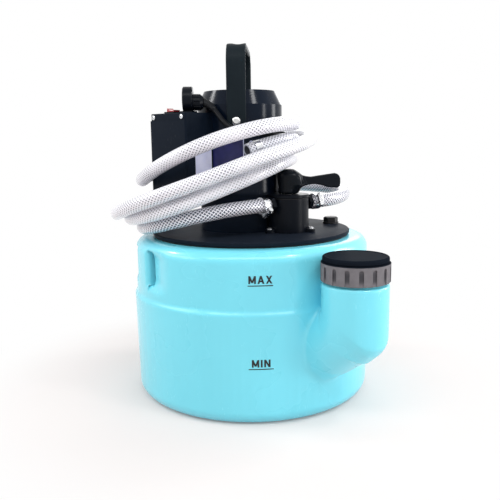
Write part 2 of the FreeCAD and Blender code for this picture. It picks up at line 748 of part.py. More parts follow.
def make_upper_shield():
    """Upper end shield: disc with a bearing seat below and a ring that holds the stator down."""
    low = SHIELD_TOP - SHIELD_SPIGOT
    bore = SHAFT_R + SHIELD_BORE_GAP
    return at_motor(outline(
        (bore, SHIELD_TOP), (SHIELD_R, SHIELD_TOP), (SHIELD_R, STATOR_TOP),
        (SHIELD_R - RIM_RING_WALL, STATOR_TOP), (SHIELD_R - RIM_RING_WALL, low), (HUB_R, low),
        (HUB_R, low - BEARING_WIDTH), (BEARING_R, low - BEARING_WIDTH), (BEARING_R, low), (bore, low)))


def make_bearings():
    """Two shielded ball bearings of the motor shaft."""
    bearings = []
    inner = SHAFT_R + SHAFT_FIT
    groove = 1.0
    for low in (SHELL_BASE + SHIELD_SPIGOT, SHIELD_TOP - SHIELD_SPIGOT - BEARING_WIDTH):
        high = low + BEARING_WIDTH
        ball = ring(BEARING_R, inner, low, high, MOTOR_X, MOTOR_Y)
        track = ring(BEARING_R - 2.5, inner + 2.5, low, low + groove, MOTOR_X, MOTOR_Y)
        cover = ring(BEARING_R - 2.5, inner + 2.5, high - groove, high, MOTOR_X, MOTOR_Y)
        bearings.append(ball.cut([track, cover]))
    return group(bearings)


def make_stator_core():
    """Laminated stator with round winding slots."""
    core = ring(STATOR_R, ROTOR_R + AIR_GAP, STATOR_Z, STATOR_TOP, MOTOR_X, MOTOR_Y)
    slot = cylinder(STATOR_SLOT_R, STATOR_Z - 1, STATOR_TOP + 1, MOTOR_X + STATOR_SLOT_CIRCLE_R, MOTOR_Y)
    return core.cut(around_motor(slot, STATOR_SLOTS))


def make_stator_windings():
    """Winding heads above and below the core, joined by the bundles in the slots."""
    low = ring(WINDING_OUT_R, WINDING_IN_R, STATOR_Z - WINDING_HEIGHT, STATOR_Z, MOTOR_X, MOTOR_Y)
    high = ring(WINDING_OUT_R, WINDING_IN_R, STATOR_TOP, STATOR_TOP + WINDING_HEIGHT, MOTOR_X, MOTOR_Y)
    heads = []
    for head in (low, high):
        rims = [edge for edge in head.Edges if isinstance(edge.Curve, Part.Circle)]
        heads.append(head.makeFillet(2.0, rims))
    bundle = cylinder(STATOR_SLOT_R - 0.2, STATOR_Z - 3.0, STATOR_TOP + 3.0,
                      MOTOR_X + STATOR_SLOT_CIRCLE_R, MOTOR_Y)
    return fused(heads + around_motor(bundle, STATOR_SLOTS))


def make_rotor_core():
    """Rotor core on the motor shaft, with end rings."""
    core = ring(ROTOR_R, SHAFT_R, STATOR_Z, STATOR_TOP, MOTOR_X, MOTOR_Y)
    low = ring(ROTOR_R - 2.0, SHAFT_R + 12.0, STATOR_Z - 3.0, STATOR_Z, MOTOR_X, MOTOR_Y)
    high = ring(ROTOR_R - 2.0, SHAFT_R + 12.0, STATOR_TOP, STATOR_TOP + 3.0, MOTOR_X, MOTOR_Y)
    return fused([core, low, high])


def make_motor_shaft():
    """Motor shaft from the coupling to the top of the fan."""
    shaft = cylinder(SHAFT_R, COUPLING_JOINT_Z, FAN_Z + FAN_HEIGHT, MOTOR_X, MOTOR_Y)
    ends = [edge for edge in shaft.Edges if isinstance(edge.Curve, Part.Circle)]
    return shaft.makeChamfer(0.6, ends[:1])


def make_cooling_fan():
    """Radial cooling fan: hub, back plate and blades."""
    top = FAN_Z + FAN_HEIGHT
    hub = cylinder(FAN_HUB_R, FAN_Z, top, MOTOR_X, MOTOR_Y)
    plate = cylinder(FAN_R, FAN_Z, FAN_Z + FAN_BLADE_THICKNESS, MOTOR_X, MOTOR_Y)
    half = FAN_BLADE_THICKNESS / 2.0
    blade = block((MOTOR_X + FAN_HUB_R - FAN_BLADE_THICKNESS, MOTOR_Y - half, FAN_Z),
                  (MOTOR_X + FAN_R - CUT, MOTOR_Y + half, top))
    slope = Part.makeCone(FAN_HUB_R + 18.0, FAN_R + 3.0, FAN_HEIGHT, V(MOTOR_X, MOTOR_Y, FAN_Z))
    flipped = slope.mirror(V(MOTOR_X, MOTOR_Y, FAN_Z + FAN_HEIGHT / 2.0), UP)
    blade = blade.common(flipped)
    return fused([hub, plate] + around_motor(blade, FAN_BLADES)).cut(
        cylinder(SHAFT_R, FAN_Z - 1, top + 1, MOTOR_X, MOTOR_Y))


def make_motor_shell():
    """Rolled steel shell of the motor."""
    return ring(MOTOR_R, SHELL_BORE_R, SHELL_BASE, COWL_SEAM_Z, MOTOR_X, MOTOR_Y)


def handle_screw_axes():
    """Points on the motor's axis height of the handle screws, with their outward lines."""
    return [direction(side + HANDLE_TURN) for side in (-90.0, 90.0)]


def make_fan_cowl():
    """Fan cowl with a chamfered crown, air slots and two bosses for the handle screws."""
    lap = SHELL_BORE_R - 0.1
    inner = lap - SHELL_WALL
    cowl = at_motor(outline(
        (inner, COWL_SEAM_Z - COWL_LAP), (lap, COWL_SEAM_Z - COWL_LAP), (lap, COWL_SEAM_Z),
        (MOTOR_R, COWL_SEAM_Z), (MOTOR_R, COWL_RIM_Z), (COWL_TOP_R, COWL_TOP_Z), (0, COWL_TOP_Z),
        (0, COWL_TOP_Z - SHELL_WALL), (COWL_TOP_R - 1.2, COWL_TOP_Z - SHELL_WALL),
        (SHELL_BORE_R, COWL_RIM_Z - 0.6), (SHELL_BORE_R, COWL_SEAM_Z + SHELL_WALL), (inner, COWL_SEAM_Z)))
    centre = V(MOTOR_X, MOTOR_Y, HANDLE_SCREW_Z)
    inside = cylinder(MOTOR_R - 1.0, COWL_SEAM_Z, COWL_RIM_Z, MOTOR_X, MOTOR_Y)
    boss_root = SHELL_BORE_R - HANDLE_BOSS_DEPTH
    bosses = [rod(HANDLE_BOSS_R, centre + line * boss_root, centre + line * MOTOR_R)
              for line in handle_screw_axes()]
    cowl = fused([cowl] + [boss.common(inside) for boss in bosses])
    half = COWL_SLOT_WIDTH / 2.0
    slot = block((MOTOR_X + COWL_SLOT_INNER_R, MOTOR_Y - half, COWL_TOP_Z - 2.0 * SHELL_WALL),
                 (MOTOR_X + COWL_SLOT_OUTER_R, MOTOR_Y + half, COWL_TOP_Z + 1.0))
    slot = slot.makeFillet(half - 0.1, edges_along(slot, UP))
    holes = [rod(HANDLE_SCREW_R, centre + line * (boss_root - CUT), centre + line * HANDLE_REACH)
             for line in handle_screw_axes()]
    return cowl.cut(around_motor(slot, COWL_SLOTS) + holes)


def handle_path(inset):
    """Outline of the strap in the plane of its legs, drawn in by an inset, as a face in XZ."""
    reach = HANDLE_REACH - inset
    top = HANDLE_TOP_Z - inset
    corner = HANDLE_CORNER_R - inset
    mid = corner * math.sqrt(0.5)
    return outline(
        (-reach, HANDLE_FOOT_Z - inset), (-reach, top - corner),
        ((-reach + corner - mid, top - corner + mid), (-reach + corner, top)), (reach - corner, top),
        ((reach - corner + mid, top - corner + mid), (reach, top - corner)), (reach, HANDLE_FOOT_Z - inset))


def make_carry_handle():
    """Strap handle over the motor: two legs, rounded corners and a thicker grooved grip."""
    half = HANDLE_WIDTH / 2.0
    strap = handle_path(0.0).extrude(V(0, HANDLE_WIDTH, 0))
    hollow = handle_path(HANDLE_THICKNESS).extrude(V(0, HANDLE_WIDTH + 2.0, 0))
    hollow.translate(V(0, -1.0, 0))
    strap = strap.cut(hollow)
    grip_low = HANDLE_TOP_Z - HANDLE_GRIP_THICKNESS
    reach = HANDLE_REACH - HANDLE_CORNER_R + HANDLE_THICKNESS
    grip = block((-reach, 0, grip_low), (reach, HANDLE_WIDTH, HANDLE_TOP_Z - HANDLE_THICKNESS + 1.0))
    edges = [edge for edge in edges_along(grip, V(0, 1, 0)) if edge.CenterOfMass.z < grip_low + 1.0]
    grip = grip.makeChamfer(HANDLE_GRIP_THICKNESS - HANDLE_THICKNESS, edges)
    strap = fused([strap, grip])
    strap.translate(V(0, -half, 0))
    strap.rotate(V(0, 0, 0), UP, 90.0)
    groove_z = HANDLE_TOP_Z + HANDLE_GROOVE_R - HANDLE_GROOVE_DEPTH
    groove_ends = [V(HANDLE_GROOVE_OFFSET, side * reach, groove_z) for side in (-1, 1)]
    groove = rod(HANDLE_GROOVE_R, *groove_ends)
    ends = [Part.makeSphere(HANDLE_GROOVE_R, place) for place in groove_ends]
    strap = strap.cut([groove] + ends)
    strap = strap.cut(cylinder(MOTOR_R, HANDLE_FOOT_Z - 1.0, COWL_RIM_Z))
    for side in (-1, 1):
        strap = strap.cut(rod(HANDLE_SCREW_R, V(0, side * (MOTOR_R - CUT), HANDLE_SCREW_Z),
                              V(0, side * (HANDLE_REACH + CUT), HANDLE_SCREW_Z)))
    strap.rotate(V(0, 0, 0), UP, HANDLE_TURN)
    strap.translate(V(MOTOR_X, MOTOR_Y, 0))
    return strap.removeSplitter()


def make_handle_screws():
    """Pan-head screws that hold the handle's legs to the cowl."""
    screws = []
    centre = V(MOTOR_X, MOTOR_Y, HANDLE_SCREW_Z)
    for line in handle_screw_axes():
        screw = pan_screw(HANDLE_SCREW_R, HANDLE_SCREW_HEAD_R, HANDLE_SCREW_HEAD_HEIGHT,
                          HANDLE_REACH - SHELL_BORE_R + HANDLE_BOSS_DEPTH - 1.0)
        screws.append(aimed(screw, centre + line * HANDLE_REACH, line))
    return group(screws)


def pan_screw(radius, head_radius, head_height, length):
    """Pan-head screw with a cross recess, standing on the origin with its head up."""
    crown = head_height * 0.45
    head = turned(outline(
        (0, 0), (head_radius, 0), (head_radius, head_height - crown),
        ((head_radius * 0.78, head_height - crown * 0.32), (head_radius * 0.4, head_height)),
        (0, head_height)))
    half = head_radius * 0.14
    arm = head_radius * 0.55
    depth = head_height * 0.5
    cross = [block((-arm, -half, depth), (arm, half, head_height + 1.0)),
             block((-half, -arm, depth), (half, arm, head_height + 1.0))]
    return fused([head.cut(cross), cylinder(radius, -length, 0.2)])


def make_pump_column():
    """Column that hangs the pump from the plate, with its flange and two weep holes."""
    top = GASKET_TOP
    flange_foot = top - COLUMN_FLANGE_THICKNESS
    column = fused([ring(COLUMN_R, COLUMN_BORE_R, VOLUTE_TOP, top, MOTOR_X, MOTOR_Y),
                    ring(COLUMN_FLANGE_R, COLUMN_BORE_R, flange_foot, top, MOTOR_X, MOTOR_Y)])
    weep_z = top - WEEP_DROP
    weep = rod(WEEP_R, V(MOTOR_X - 2 * COLUMN_R, MOTOR_Y, weep_z), V(MOTOR_X + 2 * COLUMN_R, MOTOR_Y, weep_z))
    screws = [cylinder(FOOT_SCREW_R, flange_foot - CUT, top + CUT, x, y)
              for x, y in foot_screw_places()]
    return column.cut([weep] + screws)


def make_volute():
    """Pump casing with its inlet below and an outlet arm that carries the riser pipe."""
    centre = V(MOTOR_X, MOTOR_Y, 0)
    port = floor_port(SUPPLY_ANGLE)
    level = UP * (VOLUTE_FLOOR_Z + VOLUTE_HEIGHT / 2.0)
    line = heading(centre, port)
    body = cylinder(VOLUTE_R, VOLUTE_FLOOR_Z, VOLUTE_TOP, MOTOR_X, MOTOR_Y)
    arm = rod(OUTLET_R, centre + line * (VOLUTE_R - 10.0) + level, port + level)
    socket = cylinder(OUTLET_R, level.z - OUTLET_R, level.z + OUTLET_RISE, port.x, port.y)
    casing = fused([body, arm, socket])
    chamber = cylinder(VOLUTE_R - VOLUTE_WALL, VOLUTE_FLOOR_Z + VOLUTE_WALL, VOLUTE_TOP - VOLUTE_WALL,
                       MOTOR_X, MOTOR_Y)
    inlet = cylinder(VOLUTE_INLET_R, VOLUTE_FLOOR_Z - 1, VOLUTE_FLOOR_Z + 2 * VOLUTE_WALL, MOTOR_X, MOTOR_Y)
    shaft = cylinder(PUMP_SHAFT_R + 1.0, VOLUTE_FLOOR_Z + VOLUTE_WALL, VOLUTE_TOP + 1, MOTOR_X, MOTOR_Y)
    duct = rod(PIPE_BORE_R, centre + line * (VOLUTE_R - VOLUTE_WALL - 4.0) + level, port + level)
    rise = cylinder(PIPE_BORE_R, level.z, level.z + OUTLET_RISE + 1, port.x, port.y)
    seat = cylinder(PIPE_R, riser_foot(), level.z + OUTLET_RISE + 1, port.x, port.y)
    return casing.cut([chamber, inlet, shaft, duct, rise, seat])


def riser_foot():
    """Height of the riser pipe's lower end in the casing's outlet socket."""
    return VOLUTE_FLOOR_Z + VOLUTE_HEIGHT / 2.0 + OUTLET_RISE - 12.0


def make_impeller():
    """Semi-open impeller: shroud above, swept blades below, hub on the pump shaft."""
    low = VOLUTE_FLOOR_Z + VOLUTE_WALL + IMPELLER_LIFT
    high = low + IMPELLER_BLADE_HEIGHT
    shroud = cylinder(IMPELLER_R, high, high + IMPELLER_PLATE, MOTOR_X, MOTOR_Y)
    hub = cylinder(PUMP_SHAFT_R + 4.0, low, high + IMPELLER_PLATE, MOTOR_X, MOTOR_Y)
    half = IMPELLER_BLADE_THICKNESS / 2.0
    blade = block((0, -half, low), (IMPELLER_R + 5.0, half, high))
    blade.rotate(V(0, 0, 0), UP, -28.0)
    blade.translate(V(MOTOR_X + PUMP_SHAFT_R, MOTOR_Y, 0))
    blade = blade.common(cylinder(IMPELLER_R, low, high, MOTOR_X, MOTOR_Y))
    body = fused([shroud, hub] + around_motor(blade, IMPELLER_BLADES))
    return body.cut(cylinder(PUMP_SHAFT_R, low - 1, high + IMPELLER_PLATE + 1, MOTOR_X, MOTOR_Y))


def make_pump_shaft():
    """Long shaft of the pump, from the impeller to the coupling."""
    low = VOLUTE_FLOOR_Z + VOLUTE_WALL + IMPELLER_LIFT
    return cylinder(PUMP_SHAFT_R, low, COUPLING_JOINT_Z, MOTOR_X, MOTOR_Y)


def make_coupling():
    """Rigid sleeve coupling between the two shafts, with two grub-screw holes."""
    top = COUPLING_Z + COUPLING_HEIGHT
    sleeve = cylinder(COUPLING_R, COUPLING_Z, top, MOTOR_X, MOTOR_Y)
    sleeve = sleeve.makeChamfer(0.8, [edge for edge in sleeve.Edges if isinstance(edge.Curve, Part.Circle)])
    grubs = [rod(2.0, V(MOTOR_X, MOTOR_Y, z), V(MOTOR_X + 2 * COUPLING_R, MOTOR_Y, z))
             for z in (COUPLING_Z + 7.0, top - 7.0)]
    return sleeve.cut([cylinder(PUMP_SHAFT_R, COUPLING_Z - 1, COUPLING_JOINT_Z, MOTOR_X, MOTOR_Y),
                       cylinder(SHAFT_R, COUPLING_JOINT_Z, top + 1, MOTOR_X, MOTOR_Y)] + grubs)


def make_shaft_bush():
    """Guide bush for the pump shaft at the foot of the column."""
    return ring(COLUMN_BORE_R, PUMP_SHAFT_R + SHAFT_FIT, VOLUTE_TOP, VOLUTE_TOP + BUSH_HEIGHT,
                MOTOR_X, MOTOR_Y)


def make_strainer():
    """Slotted suction strainer under the casing."""
    cup = cylinder(STRAINER_R, STRAINER_FLOOR_Z, VOLUTE_FLOOR_Z, MOTOR_X, MOTOR_Y)
    cup = cup.cut(cylinder(STRAINER_R - STRAINER_WALL, STRAINER_FLOOR_Z + STRAINER_WALL, VOLUTE_FLOOR_Z + 1,
                           MOTOR_X, MOTOR_Y))
    half = STRAINER_SLOT_WIDTH / 2.0
    slot_foot = STRAINER_FLOOR_Z + 1.5 * STRAINER_WALL
    slot = block((MOTOR_X + STRAINER_R - 2 * STRAINER_WALL, MOTOR_Y - half, slot_foot),
                 (MOTOR_X + STRAINER_R + CUT, MOTOR_Y + half, VOLUTE_FLOOR_Z - STRAINER_WALL))
    return cup.cut(around_motor(slot, STRAINER_SLOTS))


def floor_port(angle):
    """Plan position of a port in the valve's floor."""
    return polar(FLOOR_PORT_R, angle, 0, VALVE_X, VALVE_Y)


def make_riser_pipe():
    """Pipe from the pump casing up to the valve."""
    port = floor_port(SUPPLY_ANGLE)
    return ring(PIPE_R, PIPE_BORE_R, riser_foot(), PLATE_TOP + PIPE_SOCKET, port.x, port.y)


def make_return_pipe():
    """Pipe from the valve that lets the returning liquid fall back into the tank."""
    port = floor_port(RETURN_ANGLE)
    return ring(PIPE_R, PIPE_BORE_R, RETURN_PIPE_FOOT_Z, PLATE_TOP + PIPE_SOCKET, port.x, port.y)


def lug_places():
    """Plan positions of the screws in the valve's foot lugs."""
    places = [polar(FOOT_LUG_CIRCLE_R, angle, 0, VALVE_X, VALVE_Y) for angle in FOOT_LUG_ANGLES]
    return [(place.x, place.y) for place in places]


def make_valve_body():
    """Valve housing with two side ports, two floor ports and two screwed foot lugs."""
    centre = V(VALVE_X, VALVE_Y, VALVE_PORT_Z)
    parts = [cylinder(VALVE_R, PLATE_TOP, VALVE_BODY_TOP_Z, VALVE_X, VALVE_Y)]
    cuts = [cylinder(VALVE_CHAMBER_R, VALVE_FLOOR_Z, VALVE_BODY_TOP_Z + 1, VALVE_X, VALVE_Y)]
    for angle in (LEFT_PORT_ANGLE, RIGHT_PORT_ANGLE):
        line = direction(angle)
        parts.append(rod(PORT_BOSS_R, centre + line * VALVE_CHAMBER_R, centre + line * PORT_BOSS_REACH))
        cuts.append(rod(VALVE_PORT_R, centre + line * (VALVE_CHAMBER_R - VALVE_PORT_R),
                        centre + line * (PORT_BOSS_REACH + CUT)))
    for angle, (x, y) in zip(FOOT_LUG_ANGLES, lug_places()):
        web = block((0, -FOOT_LUG_R, PLATE_TOP),
                    (FOOT_LUG_CIRCLE_R, FOOT_LUG_R, PLATE_TOP + FOOT_LUG_HEIGHT))
        web.rotate(V(0, 0, 0), UP, angle)
        web.translate(V(VALVE_X, VALVE_Y, 0))
        parts.append(web)
        parts.append(cylinder(FOOT_LUG_R, PLATE_TOP, PLATE_TOP + FOOT_LUG_HEIGHT, x, y))
        cuts.append(cylinder(LUG_SCREW_R, PLATE_TOP - 1, PLATE_TOP + FOOT_LUG_HEIGHT + 1, x, y))
    for angle in (SUPPLY_ANGLE, RETURN_ANGLE):
        port = floor_port(angle)
        cuts.append(cylinder(PIPE_R, PLATE_TOP - 1, PLATE_TOP + PIPE_SOCKET, port.x, port.y))
        cuts.append(cylinder(PIPE_BORE_R, PLATE_TOP, VALVE_FLOOR_Z + 1, port.x, port.y))
    return fused(parts).cut(cuts)


def make_valve_gasket():
    """Flat gasket under the bonnet."""
    return ring(VALVE_R, VALVE_CHAMBER_R + SLIP_GAP, VALVE_BODY_TOP_Z, VALVE_BODY_TOP_Z + VALVE_GASKET,
                VALVE_X, VALVE_Y)


def make_valve_bonnet():
    """Bonnet of the valve with the stem's hole."""
    low = VALVE_BODY_TOP_Z + VALVE_GASKET
    bonnet = cylinder(BONNET_R, low, BONNET_TOP, VALVE_X, VALVE_Y)
    bonnet = bonnet.makeChamfer(0.8, [edge for edge in bonnet.Edges if isinstance(edge.Curve, Part.Circle)])
    return bonnet.cut(cylinder(VALVE_STEM_R + SHAFT_FIT, low - 1, BONNET_TOP + 1, VALVE_X, VALVE_Y))


def make_valve_rotor():
    """Rotor of the valve: a flat wall across the chamber, a disc above it and the stem."""
    sweep = VALVE_CHAMBER_R - SLIP_GAP
    low = VALVE_FLOOR_Z + PART_GAP
    disc_high = VALVE_BODY_TOP_Z + VALVE_GASKET - PART_GAP
    disc_low = disc_high - ROTOR_DISC
    vane = block((-sweep - 1, -VALVE_VANE / 2.0, low), (sweep + 1, VALVE_VANE / 2.0, disc_low + 0.5))
    vane = vane.common(cylinder(sweep, low, disc_high))
    disc = cylinder(sweep, disc_low, disc_high)
    stem = cylinder(VALVE_STEM_R, disc_low, STEM_TOP_Z)
    rotor = fused([vane, disc, stem])
    rotor.rotate(V(0, 0, 0), UP, VANE_ANGLE)
    rotor.translate(V(VALVE_X, VALVE_Y, 0))
    return rotor


def make_valve_lever():
    """Lever: bell-shaped hub with a domed top, a waisted arm and a thumb paddle along +X."""
    low = BONNET_TOP + SLIP_GAP
    hub = turned(outline(
        (0, low), (LEVER_FOOT_R - 0.8, low), (LEVER_FOOT_R, low + 0.8), (LEVER_FOOT_R, low + 7.0),
        ((LEVER_FOOT_R + 0.4, low + 15.0), (LEVER_BELL_R, LEVER_SHOULDER_Z)),
        ((LEVER_BELL_R * 0.80, LEVER_TOP_Z - 3.0), (LEVER_BELL_R * 0.34, LEVER_TOP_Z)), (0, LEVER_TOP_Z)))
    half = ARM_THICKNESS / 2.0
    waist = WAIST_HEIGHT / 2.0
    blade = PADDLE_HEIGHT / 2.0
    start = LEVER_REACH - PADDLE_LENGTH
    tip = 5.0
    arm = outline(
        (0, ARM_Z - 12.0), (8.0, ARM_Z - 12.0), ((17.0, ARM_Z - waist - 2.2), (27.0, ARM_Z - waist)),
        ((start, PADDLE_Z - waist - 0.9), (start + 8.0, PADDLE_Z - blade + 0.8)),
        (LEVER_REACH - tip, PADDLE_Z - blade),
        ((LEVER_REACH - tip * 0.3, PADDLE_Z - blade + tip * 0.3), (LEVER_REACH, PADDLE_Z - blade + tip)),
        (LEVER_REACH, PADDLE_Z + blade - tip - 3.0),
        ((LEVER_REACH - tip * 0.45, PADDLE_Z + blade - 2.6), (LEVER_REACH - 10.0, PADDLE_Z + blade)),
        ((start + 3.0, PADDLE_Z + blade - 1.6), (27.0, ARM_Z + waist)),
        ((18.0, ARM_Z + waist + 1.6), (10.0, ARM_Z + waist + 5.0)), (0, ARM_Z + waist + 5.0))
    arm = arm.extrude(V(0, ARM_THICKNESS, 0))
    arm.translate(V(0, -half, 0))
    lever = fused([hub, arm])
    lever = lever.cut(cylinder(VALVE_STEM_R, low - 1, STEM_TOP_Z + PART_GAP))
    lever = lever.cut(rod(LEVER_SCREW_R, V(0, 0, LEVER_SCREW_Z), V(-2 * LEVER_BELL_R, 0, LEVER_SCREW_Z)))
    lever.translate(V(VALVE_X, VALVE_Y, 0))
    return lever


def make_lever_screw():
    """Socket set screw that clamps the lever to the stem."""
    screw = cylinder(LEVER_SCREW_R, 0, LEVER_FOOT_R - VALVE_STEM_R - 0.8)
    top = LEVER_FOOT_R - VALVE_STEM_R - 0.8
    screw = screw.cut(hexagon(2.5, top - 2.5, top + 1.0))
    return aimed(screw, V(VALVE_X - VALVE_STEM_R, VALVE_Y, LEVER_SCREW_Z), V(-1, 0, 0))


def make_lug_screws():
    """Pan-head screws through the valve's foot lugs."""
    top = PLATE_TOP + FOOT_LUG_HEIGHT
    screws = []
    for x, y in lug_places():
        screw = pan_screw(LUG_SCREW_R, LUG_SCREW_HEAD_R, LUG_SCREW_HEAD_HEIGHT, top - GASKET_TOP)
        screw.translate(V(x, y, top))
        screws.append(screw)
    return group(screws)


def port_frame(angle):
    """Valve centre at port height and the outward line of a side port."""
    return V(VALVE_X, VALVE_Y, VALVE_PORT_Z), direction(angle)


def make_hose_tails():
    """Threaded hose tails in the two side ports."""
    tails = []
    barb = TAIL_HEX_LENGTH + TAIL_LENGTH
    for angle in (LEFT_PORT_ANGLE, RIGHT_PORT_ANGLE):
        centre, line = port_frame(angle)
        shank = cylinder(VALVE_PORT_R, -PORT_SHANK, 0.5)
        profile = [(0, TAIL_HEX_LENGTH - 0.5), (TAIL_R, TAIL_HEX_LENGTH - 0.5)]
        step = (TAIL_LENGTH - 2.0) / TAIL_BARBS
        for count in range(TAIL_BARBS):
            start = TAIL_HEX_LENGTH + 2.0 + count * step
            profile.append((TAIL_R, start))
            profile.append((TAIL_R - 0.7, start + 0.4))
        profile.append((TAIL_R - 0.7, barb))
        profile.append((0, barb))
        tail = fused([shank, hexagon(TAIL_HEX_FLATS, 0, TAIL_HEX_LENGTH), turned(outline(*profile))])
        tail = tail.cut(cylinder(TAIL_BORE_R, -PORT_SHANK - 1, barb + 1))
        tails.append(aimed(tail, centre + line * PORT_BOSS_REACH, line))
    return group(tails)


def rounded_path(route):
    """Wire of straight runs and tangent arcs through a route of control points."""
    points = [V(*point) for point in route]
    edges = []
    here = points[0]
    for step in range(1, len(points) - 1):
        before = points[step] - points[step - 1]
        after = points[step + 1] - points[step]
        turn = before.getAngle(after)
        setback = BEND_SHARE * min(before.Length, after.Length)
        start = points[step] - heading(points[step - 1], points[step]) * setback
        end = points[step] + heading(points[step], points[step + 1]) * setback
        radius = setback / math.tan(turn / 2.0)
        inward = heading(points[step], (start + end) * 0.5)
        middle = points[step] + inward * (radius / math.cos(turn / 2.0) - radius)
        edges.append(Part.LineSegment(here, start).toShape())
        edges.append(Part.Arc(start, middle, end).toShape())
        here = end
    edges.append(Part.LineSegment(here, points[-1]).toShape())
    return Part.Wire(edges)


def cord_solid(route, radius):
    """Round cord along a route, ended square."""
    path = rounded_path(route)
    start = V(*route[0])
    line = heading(start, V(*route[1]))
    section = Part.Face(Part.Wire([Part.Circle(start, line, radius).toShape()]))
    return path.makePipe(section)


def make_hose(route):
    """Hose along a route, bored at both ends to the depth of a hose tail."""
    first = V(*route[0])
    last = V(*route[-1])
    into_first = heading(first, V(*route[1]))
    into_last = heading(last, V(*route[-2]))
    hose = cord_solid(route, HOSE_R)
    return hose.cut([rod(HOSE_BORE_R, first - into_first, first + into_first * END_BORE_DEPTH),
                     rod(HOSE_BORE_R, last - into_last, last + into_last * END_BORE_DEPTH)])


def worm_clamp(roll):
    """Worm-drive hose clamp about the origin's Z axis, with its screw housing turned by a roll."""
    length, across, height = CLAMP_HOUSING
    band = ring(CLAMP_R, HOSE_R, 0, CLAMP_WIDTH)
    mid = CLAMP_WIDTH / 2.0
    low = CLAMP_R - 0.6
    housing = block((low, -across / 2.0, mid - length / 2.0),
                    (low + height, across / 2.0, mid + length / 2.0))
    housing = housing.makeFillet(1.6, [edge for edge in edges_along(housing, V(0, 1, 0))
                                       if edge.CenterOfMass.x > low + 1.0])
    screw_x = low + height / 2.0
    screw = rod(2.6, V(screw_x, -across / 2.0 - 2.0, mid), V(screw_x, across / 2.0 + 1.0, mid))
    head = hexagon(6.5, 0, 4.0)
    head = aimed(head, V(screw_x, across / 2.0 + 1.0, mid), V(0, 1, 0))
    clamp = fused([band, housing, screw, head])
    clamp.rotate(V(0, 0, 0), UP, roll)
    return clamp


def clamp_on(route_start, route_next, inset, roll):
    """Clamp on a straight run, set in from the end of its hose."""
    line = heading(V(*route_start), V(*route_next))
    return aimed(worm_clamp(roll), V(*route_start) + line * inset, line)


def make_port_clamps():
    """Clamps on the hoses at the valve."""
    return group([clamp_on(HOSE_A_ROUTE[0], HOSE_A_ROUTE[1], CLAMP_INSET, PORT_CLAMP_ROLLS[0]),
                  clamp_on(HOSE_B_ROUTE[0], HOSE_B_ROUTE[1], CLAMP_INSET, PORT_CLAMP_ROLLS[1])])


def make_end_clamps():
    """Clamps left on the free ends of the hoses."""
    return group([clamp_on(HOSE_A_ROUTE[-1], HOSE_A_ROUTE[-2], END_CLAMP_INSET, END_CLAMP_ROLLS[0]),
                  clamp_on(HOSE_B_ROUTE[-1], HOSE_B_ROUTE[-2], END_CLAMP_INSET, END_CLAMP_ROLLS[1])])


def in_box(shape):
    """Move a shape from the control box's own frame to its place on the motor."""
    shape.rotate(V(0, 0, 0), UP, BOX_TURN)
    shape.translate(V(BOX_CORNER[0], BOX_CORNER[1], 0))
    return shape


def box_block(inset, low, high, corner_radius, saddle):
    """Block of the control box between two heights, drawn in and cut back to the motor."""
    body = block((inset, inset, low), (BOX_WIDTH - inset, BOX_LENGTH - inset, high))
    if corner_radius > 0:
        body = body.makeFillet(corner_radius, edges_along(body, UP))
    return in_box(body).cut(cylinder(saddle, low - 1, high + 1, MOTOR_X, MOTOR_Y))


def make_control_box():
    """Open-topped control box with a saddle for the motor and a lip for the lid."""
    saddle = MOTOR_R + MOTOR_SADDLE_GAP
    lip_inset = LID_INSET + LID_WALL + 0.2
    lip_top = BOX_TOP_Z + LIP_HEIGHT
    shell = box_block(0, BOX_FLOOR_Z, BOX_TOP_Z, BOX_CORNER_R, saddle)
    shell = shell.cut(box_block(BOX_WALL, BOX_FLOOR_Z + BOX_WALL, BOX_TOP_Z + 1, 0, saddle + BOX_WALL))
    lip = fused([box_block(lip_inset, BOX_TOP_Z - LIP_HEIGHT, lip_top, 0, saddle + lip_inset),
                 box_block(BOX_WALL - 0.5, BOX_TOP_Z - LIP_HEIGHT, BOX_TOP_Z, 0, saddle + BOX_WALL - 0.5)])
    inner = lip_inset + LIP_WALL
    lip = lip.cut(box_block(inner, BOX_TOP_Z - 2 * LIP_HEIGHT, lip_top + 1, 0, saddle + inner))
    return fused([shell, lip]).cut(lid_screw_rods(LID_SCREW_R))


def lid_screw_axes():
    """Seats of the lid screws on the box's left side, with their outward line."""
    line = V(-1, 0, 0)
    turn = FreeCAD.Rotation(UP, BOX_TURN)
    corner = V(BOX_CORNER[0], BOX_CORNER[1], 0)
    seats = [corner + turn.multVec(V(LID_INSET, place, LID_SCREW_Z)) for place in LID_SCREW_PLACES]
    return seats, turn.multVec(line)


def lid_screw_rods(radius):
    """Rods along the lid screws."""
    seats, line = lid_screw_axes()
    return [rod(radius, seat + line, seat - line * (LID_SCREW_LENGTH + 0.5)) for seat in seats]


